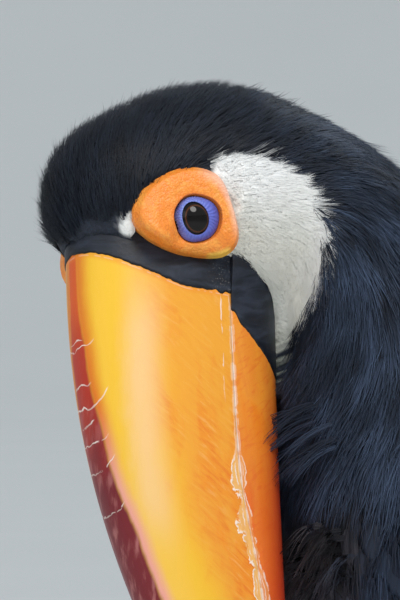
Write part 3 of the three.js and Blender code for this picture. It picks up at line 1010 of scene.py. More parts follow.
# ---------------------------------------------------------------- plumage
@dataclass(frozen=True)
class Lock:
    """A tuft of loose barbs.

    Attributes:
        length: From root to tip.
        width: Of one barb at its root.
        barbs: How many to a tuft.
        spread: Half the tuft's width at its tip.
        lift: How far the tips stand off the skin.
        rise: How far the root stands off it.
        stations: Bends along a barb.
        ragged: How much the barbs' lengths differ.
        gloss: How round each barb looks in the light; the rest looks out as the plumage does.
        loose: How much further the few loose tufts stand off.
        hugs: Whether the tufts follow the skin, or go straight on.
        lean: Where they set out to, before they bend with the lie of the rest.
        wander: How far their ways differ.
        few: The share of the tufts that are loose.
        faces: Where each of a barb's three corners is, round its line.
    """

    length: float
    width: float
    barbs: int = 5
    spread: float = 0.9
    lift: float = 1.2
    rise: float = 0.1
    stations: int = 3
    ragged: float = 0.3
    gloss: float = 0.5
    loose: float = 0.9
    hugs: bool = True
    lean: tuple = (0.0, 0.0, 0.0)
    wander: float = 0.16
    few: float = 0.05
    faces: tuple = (0.5, 2.6, 4.7)

    def paths(self, skin: Skin, lie: Lie, seats: Seats, sizes: Array,
              rng: np.random.Generator) -> tuple[Array, Array]:
        """Lays a line over the skin from each root.

        Args:
            skin: What the tufts grow on.
            lie: The way that they lie.
            seats: Their roots.
            sizes: The length of each, as a share of the full length.
            rng: Draws the small differences of their ways.

        Returns:
            The lines' points and the outward ways there, as tufts x points x 3.
        """
        spots, outs = [seats.points], [seats.outward]
        ways = lie.at(seats.points) + self.wander * rng.normal(size=seats.points.shape)
        ways += self.lean * np.sign(seats.outward * [1, 0, 0] + [0, 1, 1])
        for _ in range(self.stations):
            out = outs[-1]
            flat = np.einsum("ij,ij->i", ways, out)[:, None]
            ways = unit(ways - out * (flat if self.hugs else np.minimum(flat, 0)))
            ahead = spots[-1] + ways * (self.length * sizes / self.stations)[:, None]
            near, out = nearest(skin.tree, ahead) if self.hugs else (ahead, out)
            spots.append(near)
            outs.append(unit(out))
            ways = 0.6 * ways + 0.4 * lie.at(near)
        return np.stack(spots, 1), np.stack(outs, 1)

    def grown(self, skin: Skin, lie: Lie, seats: Seats, sizes: Array,
              traits: dict[str, Array], seed: int) -> Shell:
        """Grows a tuft on each root.

        Args:
            skin: What the tufts grow on.
            lie: The way that they lie.
            seats: Their roots.
            sizes: The length of each, as a share of the full length.
            traits: Values for each tuft, read by the finish.
            seed: Fixes the small differences.

        Returns:
            All the barbs.
        """
        rng = np.random.default_rng(seed)
        spots, outs = self.paths(skin, lie, seats, sizes, rng)
        count, barbs, steps = len(seats.points), self.barbs, self.stations
        across = np.linspace(-1, 1, barbs)[None] + 0.3 * rng.normal(size=(count, barbs))
        reach = 1 - self.ragged * (0.5 * across**2 + rng.random((count, barbs))) / 1.5
        height = 0.55 + 0.9 * rng.random((count, barbs))
        height *= 1 + self.loose * (rng.random((count, 1)) < self.few)
        curl = 0.5 * rng.normal(size=(count, barbs))
        share = np.arange(steps + 1) / steps
        at = reach[..., None] * share * steps
        low = np.minimum(at.astype(int), steps - 1)
        part = (at - low)[..., None]
        row = np.arange(count)[:, None, None]
        out = unit(mix(outs[row, low], outs[row, low + 1], part))
        side = unit(np.cross(out, unit(spots[row, low + 1] - spots[row, low])))
        drift = self.spread * (across[..., None] * (0.35 + 0.65 * share) + curl[..., None] * share**2)
        up = self.rise + self.lift * height[..., None] * share**1.4
        middle = laid(mix(spots[row, low], spots[row, low + 1], part), (drift, side), (up, out))
        half = self.width / 2 * (1 - 0.75 * share[:steps] ** 1.5)
        turn, flat = np.array(self.faces)[:, None], (count, barbs, 3 * steps, 3)
        out_of, side = out[:, :, :steps, None], side[:, :, :steps, None]
        round_it = side * np.cos(turn) + 0.6 * out_of * np.sin(turn)
        corners = middle[:, :, :steps, None] + half[:, None, None] * round_it
        looks = unit(out_of + self.gloss * round_it)
        body = np.concatenate([corners.reshape(flat), middle[:, :, steps:]], 2)
        shell = self._shell(body, across, seats, traits, rng)
        shell.looks = np.concatenate([looks.reshape(flat), out[:, :, steps:]], 2).reshape(-1, 3)
        return shell

    def _shell(self, body: Array, across: Array, seats: Seats,
               traits: dict[str, Array], rng: np.random.Generator) -> Shell:
        """Joins the barbs' points into faces, with their values and their map.

        Args:
            body: Places, as tufts x barbs x points x 3.
            across: Where each barb is across its tuft.
            seats: The tufts' roots.
            traits: Values for each tuft.
            rng: Draws each tuft's and barb's tone.

        Returns:
            The barbs.
        """
        count, barbs, size = body.shape[:3]
        steps = self.stations
        one = [(0, 2, 1)]
        for k in range(steps - 1):
            for j in range(3):
                here, beside = 3 * k + j, 3 * k + (j + 1) % 3
                one += [(here, beside, beside + 3), (here, beside + 3, here + 3)]
        one += [(3 * steps - 3 + j, 3 * steps - 3 + (j + 1) % 3, 3 * steps) for j in range(3)]
        starts = np.arange(count * barbs) * size
        faces = (np.array(one)[None] + starts[:, None, None]).reshape(-1, 3)
        along = np.array([k / steps for k in range(steps) for _ in range(3)] + [1.0])
        turn = np.array([math.cos(turn) for turn in self.faces] * steps + [0.0])
        map_x = 0.35 * across[..., None] + 0.12 * turn
        map_y = np.broadcast_to(along - 0.5, map_x.shape)
        spots = seats.spots[:, None, None] + TUFT_PATCH * np.stack([map_x, map_y], -1)
        full = {key: np.repeat(values, barbs * size) for key, values in traits.items()}
        full["along"] = np.tile(along, count * barbs)
        full["tone"] = np.repeat(rng.random(count), barbs * size) * 0.6 + np.repeat(
            rng.random(count * barbs), size) * 0.4
        return Shell(body.reshape(-1, 3), [faces], full, {BAKE_MAP: spots.reshape(-1, 2)})


def nearest(tree: BVHTree, points: Array) -> tuple[Array, Array]:
    """The nearest places on a surface, and its outward ways there."""
    found = [tree.find_nearest(point)[:2] for point in points.tolist()]
    return np.array([f[0] for f in found]), np.array([f[1] for f in found])


# ---------------------------------------------------------------- the eyes and the skin round them
@dataclass(frozen=True)
class Eye:
    """An eyeball, its lids and the bare skin round it, on one side of the head.

    Attributes:
        opening: Half the length and half the height of the opening between the lids.
        opening_turn: How the opening's long axis turns from forward towards the crown.
        ring: The radius of the blue skin round the opening.
        ring_drop: How far its middle lies under the opening's.
        plump_turn: Where the skin stands out most, towards the top of the bill's base.
        roll: How much more it stands out there, near its edge.
        lid: How far the lids stand out of the ball.
        groove: The depth of the groove round the blue ring, from the ball's middle.
        crest: The depth of the orange skin's inner crest.
        crest_out: How far outside the groove that crest is.
        roll_turn: Where it rolls over the edge of the bill.
        cornea: How far the clear front stands out of the ball.
        above: From where the head is felt for, along the eye's axis.
        waves: How many waves round the eye are kept of what is felt.
        around: Points round a ring.
    """

    head: Head
    skin: Skin
    orbit: Orbit
    side: Side
    opening: tuple = (5.05, 3.95)
    opening_turn: float = math.radians(159)
    ring: float = 7.1
    ring_drop: float = 0.9
    lid: float = 0.5
    groove: float = 5.2
    crest: float = 5.9
    crest_out: float = 0.7
    plump_turn: float = math.radians(78)
    roll: float = 3.8
    roll_turn: float = math.radians(62)
    cornea: float = 0.5
    above: float = 22.0
    waves: int = 10
    around: int = 256

    def _axes(self) -> tuple[Array, Array, Array, Array]:
        """The ball's middle and its outward, forward and upward ways, in the model's frame."""
        flip = np.array([1, 1, self.side.value])
        middle = self.head.point(
            np.array([self.head.EYE_FORWARD, self.head.EYE_UP, self.head.EYE_OUT]) * flip
        )
        ahead, above, out = self.orbit.ways()
        return middle, *(self.head.way(w * flip) for w in (out, ahead, above))

    def _laid(self, ahead: Array, above: Array, depth: Array) -> Array:
        """Places given on the eye's axes, in the model's frame."""
        middle, out, fore, top = self._axes()
        return laid(middle, (ahead, fore), (above, top), (depth, out))

    def _lid_radius(self, turn: Array) -> Array:
        """The opening's radius at each turn round the eye's axis."""
        long, short = self.opening
        at = turn - self.opening_turn
        return long * short / np.hypot(short * np.cos(at), long * np.sin(at))

    def _ring_radius(self, turn: Array) -> Array:
        """The blue ring's outer radius, a little uneven."""
        drop = -self.ring_drop * np.sin(turn)
        return np.sqrt(self.ring**2 - (self.ring_drop * np.cos(turn)) ** 2) + drop \
            + 0.14 * np.sin(3 * turn + 1) + 0.1 * np.sin(5 * turn)

    def _edge_radius(self, turn: Array) -> Array:
        """How far the bare skin reaches at each turn."""
        low, high = np.full_like(turn, 4.0), np.full_like(turn, 30.0)
        for _ in range(24):
            middle = (low + high) / 2
            inside = self.orbit.outside(middle * np.cos(turn), middle * np.sin(turn)) < 0
            low, high = np.where(inside, middle, low), np.where(inside, high, middle)
        return low

    def _ground(self, turn: Array, radius: Array) -> Array:
        """The head's own depth along the eye's axis, evened out along each row.

        Args:
            turn: The turns round the axis.
            radius: Rows of radii at those turns.

        Returns:
            The depth at each of them.
        """
        reach = np.maximum(radius, 9.6)
        start = self._laid(reach * np.cos(turn), reach * np.sin(turn), np.full_like(reach, self.above))
        inward = Vector(-self._axes()[1])
        depth = np.empty(reach.shape)
        for index in np.ndindex(depth.shape):
            gap = self.skin.proud.ray_cast(Vector(start[index]), inward, 40.0)[3]
            depth[index] = self.above - gap if gap is not None else np.nan
        for row in depth:
            bad = np.isnan(row)
            row[bad] = np.nanmin(row) if not bad.all() else -6.0
        wave = np.fft.rfft(depth, axis=1)
        wave[:, self.waves:] = 0
        return np.fft.irfft(wave, depth.shape[1], axis=1)

    def _on_ball(self, radius: Array) -> Array:
        """The depth of the ball's face at a radius."""
        return np.sqrt(np.maximum(self.head.EYE_RADIUS**2 - radius**2, 1.0))

    def _blue(self, lid: Array, ring: Array) -> tuple[Array, Array, Array]:
        """The rows of the lids and of the blue ring.

        Args:
            lid: The opening's radius at each turn.
            ring: The blue ring's outer radius.

        Returns:
            The rows' radii, depths and zones, which go from 0 at the lids to 1.
        """
        inner = np.array([[0.5], [0.9], [0.96]]) * lid
        sunk = self._on_ball(inner) - np.array([[2.5], [1.6], [0.3]])
        share = column(25)
        arch = mix(self._on_ball(lid) + self.lid, self.groove, share**1.35)
        arch = arch + 0.35 * np.sin(math.pi * share) ** 0.6 - 0.25 * ease(0.9, 1.0, share)
        radii = np.concatenate([inner, 0.98 * lid[None], mix(lid + 0.02, ring, share)])
        depths = np.concatenate([sunk, self._on_ball(lid)[None] + 0.25, arch])
        return radii, depths, np.concatenate([np.zeros((4, 1)), share])

    def _orange(self, turn: Array, ring: Array, edge: Array) -> tuple[Array, Array, Array]:
        """The rows of the orange skin, and of its back under the feathers.

        Args:
            turn: The turns round the eye's axis.
            ring: The blue ring's outer radius at each.
            edge: How far the bare skin reaches.

        Returns:
            The rows' radii, depths and zones, which go from 1 at the blue ring to 2.
        """
        share = np.arange(1, 57)[:, None] / 56
        radius = mix(ring, edge + 0.4, share**1.15)
        ground = self._ground(turn, radius)
        crest_at = ring + self.crest_out
        out = np.clip((radius - crest_at) / np.maximum(edge + 0.4 - crest_at, 1), 0, 1)
        plump = hump(turn, self.plump_turn, 0.75)
        dome = (1 - out ** (1.5 + 2.0 * plump)) ** (1.3 - 0.5 * plump)
        foot = 0.2 + 1.6 * plump + 0.5 * ease(-0.2, 0.5, np.cos(turn))
        depth = ground + foot + np.maximum(self.crest - ground - foot, 0.4) * dome
        depth = depth + self.roll * hump(turn, self.roll_turn, 0.62) * hump(out, 0.70, 0.42)
        rim = ease(0, 1, np.clip((radius - ring) / self.crest_out, 0, 1))
        depth = mix(self.groove - 0.25, depth, rim) - 1.6 * ease(0.86, 1.0, share)
        under, edge = self._ground(turn, edge[None]), edge[None]
        radii = np.concatenate([radius, edge + 0.5, edge - 0.5, np.full_like(edge, 7.0)])
        depths = np.concatenate([depth, under - 3.0, under - 5.0, np.full_like(edge, -3.0)])
        return radii, depths, np.concatenate([1 + share, np.full((3, 1), 2.0)])

    def bare_skin(self, finish: Finish) -> Piece:
        """Makes the lids, the blue ring and the orange skin as one closed body."""
        turn = circle(self.around)
        ring = self._ring_radius(turn)
        blue = self._blue(self._lid_radius(turn), ring)
        orange = self._orange(turn, ring, self._edge_radius(turn))
        radius, depth, zone = (np.concatenate(rows) for rows in zip(blue, orange))
        depth = depth + self._relief(turn, radius, zone)
        places = self._laid(radius * np.cos(turn), radius * np.sin(turn), depth)
        body = ring_body(places, {"zone": zone, "turn_x": np.cos(turn), "turn_y": np.sin(turn)})
        return body.piece(f"bare_skin_{self.side.word}", finish)

    def _relief(self, turn: Array, radius: Array, zone: Array) -> Array:
        """The small folds: rays on the blue ring, pebbles and creases on the orange skin.

        Args:
            turn: The turns round the eye's axis.
            radius: Rows of radii.
            zone: Their zones.

        Returns:
            How far each place stands up.
        """
        flat = xyz(radius * np.cos(turn), radius * np.sin(turn), 5.0)
        grain = Grain(Seed.EYE_FOLDS + self.side.value)
        wobble = grain.at(flat, 2.4)
        rays = np.sin(34 * turn + 3.2 * wobble) * np.sin(math.pi * np.clip(zone, 0, 1)) ** 0.7
        on_ring = np.where(zone < 1, 0.11 * rays, 0)
        skin = ease(1.05, 1.25, zone) * (1 - ease(1.85, 1.98, zone))
        pebbles = grain.deep(flat, 1.2)
        creases = np.abs(grain.at(flat, 3.6))
        return on_ring + skin * (0.17 * pebbles + 0.20 * np.minimum(creases, 0.4))

    def eyeball(self, finish: Finish) -> Piece:
        """Makes the ball with its clear front standing a little out of it."""
        turn = circle(96)
        angle = np.linspace(0.01, math.pi - 0.01, 72)[:, None]
        radius = self.head.EYE_RADIUS + self.cornea * hump(angle, 0, 0.62) - 1.2 * ease(0.75, 1.2, angle)
        off, depth = radius * np.sin(angle), radius * np.cos(angle)
        places = self._laid(off * np.cos(turn), off * np.sin(turn), depth + 0 * turn)
        at = turn - self.opening_turn
        traits = {"along": off * np.cos(at), "across": off * np.sin(at)}
        return ring_body(places, traits).piece(f"eyeball_{self.side.word}", finish)


# ---------------------------------------------------------------- the bill
@dataclass(frozen=True)
class Bill:
    """The bill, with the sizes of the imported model, measured forward of the eyes."""

    head: Head
    start: float = 3.0
    end: float = 191.0
    culmen_rise: float = 29.0
    culmen_drop: float = 23.0
    culmen_at: float = 114.0
    culmen_bend: float = 2.3
    gonys_depth: float = 37.8
    gonys_drop: float = 9.0
    width: float = 20.8
    lower_share: float = 0.35
    fullness: float = 2.3
    band_proud: float = 0.32
    swell: float = 1.8
    lip: float = 0.12
    rings: int = 380
    columns: int = 132

    def culmen(self, ahead: Array) -> Array:
        """The ridge's height above the eyes."""
        share = np.maximum(ahead, 0) / self.culmen_at
        return self.culmen_rise - self.culmen_drop * share**self.culmen_bend

    def gonys(self, ahead: Array) -> Array:
        """The keel's height, below the eyes."""
        return -self.gonys_depth - self.gonys_drop * (np.maximum(ahead, 0) / self.end) ** 1.2

    def tomium(self, ahead: Array) -> Array:
        """The height of the line where the two halves meet."""
        share = self.lower_share - 0.08 * ease(70, 120, ahead)
        return mix(self.gonys(ahead), self.culmen(ahead), share)

    def half_width(self, ahead: Array) -> Array:
        """Half the bill's width."""
        return self.width * (1 - (np.maximum(ahead, 0) / (self.end + 0.5)) ** 1.9) ** 0.7

    def section(self, places: Array) -> tuple[Array, Array]:
        """How far each place is towards the ridge or keel, and how far out: 1 is the face.

        Args:
            places: Places forward, up and left of the eyes.

        Returns:
            The two measures of each place.
        """
        ahead = np.clip(places[:, 0], 0, self.end - 1)
        middle = self.tomium(ahead)
        up = places[:, 1] - middle
        rise = np.where(up > 0, up / (self.culmen(ahead) - middle), up / (self.gonys(ahead) - middle))
        across = np.abs(places[:, 2]) / self.half_width(ahead)
        return rise, (across**self.fullness + rise**self.fullness) ** (1 / self.fullness)

    def reach_out(self, places: Array, size: Array) -> Array:
        """How far out sideways a section of some size goes at each place's height."""
        rise, _ = self.section(places)
        share = np.maximum(size**self.fullness - rise**self.fullness, 0) ** (1 / self.fullness)
        return share * self.half_width(np.clip(places[:, 0], 0, self.end - 1))

    def _round(self, value: Array) -> Array:
        """A circle's measure made fuller."""
        return np.sign(value) * np.abs(value) ** (2 / self.fullness)

    def face(self, ahead: Array, turn: Array, upper: bool, out: float | Array = 0.0) -> Array:
        """Places on the bill's face.

        Args:
            ahead: How far forward.
            turn: From -quarter turn at the right edge, over the ridge or keel, to the left.
            upper: Whether it is the upper half.
            out: How far outside the face.

        Returns:
            The places, forward, up and left of the eyes.
        """
        middle = self.tomium(ahead)
        tall = self.culmen(ahead) - middle if upper else middle - self.gonys(ahead)
        up = (tall + out) * self._round(np.cos(turn)) * (1 if upper else -1)
        return xyz(ahead, middle + up, (self.half_width(ahead) + out) * self._round(np.sin(turn)))

    def _turns(self, count: int) -> Array:
        """Turns from edge to edge, set closer near the cutting edges."""
        run = np.linspace(-1, 1, count)
        return math.pi / 2 * run * (1.32 - 0.32 * run**2)

    def band_front(self, up: Array) -> Array:
        """How far forward the black base band reaches at each height."""
        split = float(self.tomium(np.array(20.0)))
        above = 20.0 - 9.2 * (np.clip(up, 0, 40) / 26) ** 1.2
        below = 24 + 17 * (np.maximum(split - up, 0) / 20) ** 0.8
        return np.where(up > split, above, below)

    def half(self, upper: bool, finish: Finish) -> Piece:
        """Makes one half of the bill.

        Args:
            upper: Whether it is the upper half.
            finish: Its material.

        Returns:
            The piece.
        """
        run = np.linspace(0, 1, self.rings)
        ahead = mix(self.start, self.end + 0.3, 1 - (1 - run) ** 1.12)[:, None]
        turn = self._turns(self.columns)[None]
        outer = self.face(ahead, turn, upper)
        step = np.linalg.norm(np.diff(outer, axis=1), axis=2)
        arc = np.concatenate([np.zeros((self.rings, 1)), np.cumsum(step, 1)], 1)
        ridge = np.abs(arc - arc[:, -1:] / 2)
        edge = arc[:, -1:] / 2 - ridge
        relief = self._relief(outer, ahead, edge, upper)
        outer = outer + self._outward(outer) * relief[..., None]
        inner_turn = np.linspace(1, -1, 10)[1:-1]
        lip = self.lip if upper else -self.lip
        inner = xyz(ahead, self.tomium(ahead) + lip, 0.97 * self.half_width(ahead) * inner_turn)
        count = len(inner_turn)
        traits = {"ahead": ahead, "ridge": widened(ridge, count, 40), "edge": widened(edge, count),
                  "gap": widened(ahead - self.band_front(outer[..., 1]), count, 9)}
        body = ring_body(self.head.point(np.concatenate([outer, inner], 1)), traits)
        return body.piece("upper_bill" if upper else "lower_bill", finish)

    @staticmethod
    def _outward(places: Array) -> Array:
        """The outward way at each place of a grid."""
        along, across = np.gradient(places, axis=0), np.gradient(places, axis=1)
        out = unit(np.cross(along, across))
        middle = places.mean(1, keepdims=True)
        flip = np.sign(np.einsum("ijk,ijk->ij", out, places - middle).sum())
        return out * flip

    def _relief(self, places: Array, ahead: Array, edge: Array, upper: bool) -> Array:
        """How far the horn stands up or in, where its cutting edge has chipped.

        Args:
            places: The grid of places.
            ahead: How far forward they are.
            edge: Their distance from the cutting edge.
            upper: Whether it is the upper half.

        Returns:
            The relief of each place.
        """
        grain = Grain(Seed.UPPER_HORN if upper else Seed.LOWER_HORN)
        slow, quick = grain.at(places, (9, 40, 60)), grain.deep(places, 1.9)
        late = ease(70, 84, ahead) * (1.0 if upper else 0.6)
        reach = 0.5 + 0.3 * quick + late * (1.7 + 2.2 * slow + 0.8 * quick)
        rim = np.clip((edge - reach) / 0.5, -1, 1)
        relief = -0.30 * (1 - rim) / 2 * (0.6 + 0.4 * grain.at(places, 0.9)) * (0.4 + 0.6 * late)
        return relief * ease(0.0, 1.5, ahead - self.band_front(places[..., 1]))

    def band(self, upper: bool, finish: Finish) -> Piece:
        """Makes the black band at the bill's base, a thin shell standing a little proud.

        Args:
            upper: Whether it is the upper half's.
            finish: Its material.

        Returns:
            The piece.
        """
        turn = self._turns(230)
        grain = Grain(Seed.UPPER_BAND if upper else Seed.LOWER_BAND)
        ahead = np.full(turn.shape, 16.0)
        for _ in range(6):
            ahead = self.band_front(self.face(ahead, turn, upper)[:, 1])
        foot = self.face(ahead, turn, upper)
        ahead = ahead + 0.55 * grain.deep(foot, 5.0) + 0.3 * grain.at(foot, 1.1)
        ahead = ahead + 1.3 * grain.at(foot, 1.9) * ease(9, 2, np.abs(foot[:, 1] - self.tomium(ahead)))
        share = column(30) ** 0.8
        along = mix(self.start + 0.3, ahead, share)
        flat = self.face(along, turn, upper)
        rough = grain.deep(flat, 2.2)
        gape = ease(9, 3, np.abs(flat[..., 1] - self.tomium(along))) if upper else 0 * along
        proud = self.band_proud * (1 - 0.9 * ease(0.96, 1.0, share)) + 0.05 * rough + 0.5 * gape * rough
        if not upper:
            proud = proud + self.swell * hump(along, 9.0, 9.0) * ease(0.3, 1.0, np.abs(turn))
        outer = self.face(along, turn, upper, proud)
        inner = self.face(along[::-1][::6], turn, upper, -0.9)
        rings = np.concatenate([outer, inner], 0).transpose(1, 0, 2)
        traits = {"brink": widened((ahead - along).T, len(inner)), "raw": widened(gape.T, len(inner))}
        body = ring_body(self.head.point(rings), traits)
        return body.piece("upper_band" if upper else "lower_band", finish)


# ---------------------------------------------------------------- the finishes
@dataclass(frozen=True)
class PlumageFinish:
    """Feathers: black with a painted slate sheen, cream white with painted shade, or red, by the values they
    carry.
    """

    black: Colour = (0.0035, 0.0048, 0.0080)
    # The slate is the painted sheen that the black is lightened towards.
    slate: Colour = (0.056, 0.083, 0.144)
    brown: Colour = (0.078, 0.064, 0.060)
    white: Colour = (0.99, 0.995, 0.99)
    cream: Colour = (0.985, 0.985, 0.86)
    # The grey-green of the painted shade.
    dusk: Colour = (0.30, 0.33, 0.27)
    red: Colour = (0.42, 0.035, 0.018)
    deep_red: Colour = (0.20, 0.012, 0.010)

    def colour(self, g: Graph, tone: Wire) -> Wire:
        """The colour shared by the coat and the skin under it; the tone lightens the black towards slate, as
        painted sheen on the coat and as random down on the skin.
        """
        dark = g.blend(self.black, g.blend(self.slate, self.brown, g.trait("brown")), tone)
        pale = g.blend(self.white, self.cream, g.trait("cream"))
        # The white mixes towards the painted shade by that share, and a little more by each barb's random
        # tone; the skin, which has no tone, takes that little in full.
        pale = g.blend(pale, self.dusk, g.trait("dusk") + (1 - g.trait("tone")) * 0.06)
        red = g.blend(self.deep_red, self.red, tone)
        return g.blend(g.blend(dark, pale, g.trait("white")), red, g.trait("red"))

    def coat(self) -> Finish:
        """The finish of the feathers."""
        g = Graph("plumage")
        tone, along = g.trait("tone"), g.trait("along")
        # The painted sheen: slate on the black and brighter red on the red, more on some barbs and towards
        # the tips.
        painted_highlight_tone = g.trait("glow") * (0.25 + 1.35 * tone * tone + 0.25 * along)
        rough = 0.44 + 0.26 * g.trait("white") + 0.1 * tone
        return g.skin(Base_Color=self.colour(g, painted_highlight_tone), Roughness=rough, Specular_IOR_Level=0.19)

    def skin(self) -> Finish:
        """The finish of the skin, as down under the feathers."""
        g = Graph("down_skin")
        place = g.place()
        down = g.noise(place, 900, 4)
        return g.skin(Base_Color=self.colour(g, down * 0.35), Roughness=0.85,
                      Normal=g.bump(down, 0.0006))


@dataclass(frozen=True)
class QuillFinish:
    """Long feathers: black with fine barbs and a paler shaft."""

    black: Colour = (0.0045, 0.0055, 0.0085)
    slate: Colour = (0.022, 0.028, 0.042)
    shaft: Colour = (0.035, 0.032, 0.032)

    def vane(self) -> Finish:
        """The finish of the vanes."""
        g = Graph("quill")
        along, across, wide = g.trait("along"), g.trait("across"), g.trait("wide")
        slant = along * 60 + (across * across) ** 0.5 * wide * 0.25
        barbs = (slant * 6.28).maths("SINE")
        fine = g.noise(g.place(), 700, 3)
        tone = (0.35 + 0.25 * barbs + 0.5 * (g.trait("tone") - 0.5) + 0.4 * (fine - 0.5)).larger(0)
        paint = g.paint(self.black, self.slate, tone)
        middle = 1 - g.ramp((across * across) ** 0.5, 0.03, 0.09)
        paint.over(self.shaft, middle * 0.8)
        rough = 0.42 + 0.12 * fine
        return g.skin(Base_Color=paint.colour, Roughness=rough, Specular_IOR_Level=0.35,
                      Normal=g.bump(barbs, 0.00012, 0.6))


@dataclass(frozen=True)
class LegFinish:
    """The legs' blue-grey scaly skin and the claws' dark horn."""

    blue: Colour = (0.16, 0.23, 0.32)
    grey: Colour = (0.075, 0.10, 0.13)
    seam: Colour = (0.030, 0.036, 0.045)
    sole: Colour = (0.17, 0.16, 0.14)
    horn: Colour = (0.016, 0.015, 0.016)
    worn: Colour = (0.075, 0.068, 0.062)

    def scales(self) -> Finish:
        """The scaly skin."""
        g = Graph("leg_scales")
        place = g.place()
        cloud, fine = g.noise(place, 160, 3), g.noise(place, 1400, 3)
        paint = g.paint(self.grey, self.blue, g.ramp(cloud, 0.35, 0.7))
        part = g.trait("step")
        seam = (1 - g.ramp(part, 0.04, 0.16)).larger(g.ramp(part, 0.93, 1)) * g.trait("front")
        paint.over(self.seam, seam * 0.8)
        pebble = g.cells(place, 900)
        paint.over(self.seam, g.ramp(pebble, 0.45, 0.8) * 0.5)
        paint.over(self.sole, g.trait("sole") * 0.6)
        height = fine * 0.4 - pebble * 0.6
        return g.skin(Base_Color=paint.colour, Roughness=0.46 + 0.15 * fine,
                      Normal=g.bump(height, 0.0002, 0.7))

    def claws(self) -> Finish:
        """The claws' horn."""
        g = Graph("claw_shine")
        fine = g.noise(g.scaled(g.place(), 1, 1, 0.3), 900, 3)
        paint = g.paint(self.horn, self.worn, g.ramp(g.trait("tip"), 0.7, 1) * 0.6 + 0.2 * fine)
        return g.skin(Base_Color=paint.colour, Roughness=0.3 + 0.15 * fine, Normal=g.bump(fine, 0.0001, 0.5))


@dataclass(frozen=True)
class Horn:
    """What the layers of the bill's horn are placed by.

    Attributes:
        g: The material's nodes.
        ahead: How far forward of the eyes.
        ridge: How far from the ridge or the keel.
        edge: How far from the cutting edge.
        gap: How far in front of the black band.
        wide: Wide mottling drawn out along the bill, from 0 to 1.
        fine: Fine mottling, likewise.
    """

    g: Graph
    ahead: Wire
    ridge: Wire
    edge: Wire
    gap: Wire
    wide: Wire
    fine: Wire

    @classmethod
    def started(cls, name: str) -> "Horn":
        """Starts a material and reads them."""
        g = Graph(name)
        place = g.scaled(g.place(), 1, 1, 0.32)
        wide, fine = g.noise(place, 85, 3, 0.6), g.noise(place, 420, 3, 0.3)
        return cls(g, *map(g.trait, ("ahead", "ridge", "edge", "gap")), wide, fine)

    def strokes(self) -> Wire:
        """Fine slanting strokes in the horn, from 0 to 1."""
        along, across = self.ahead * 0.6 - self.edge * 0.8, self.ahead * 0.8 + self.edge * 0.6
        return self.g.noise(self.g.joined(along * 0.16, across * 0.72), 1, 3, 0.5)


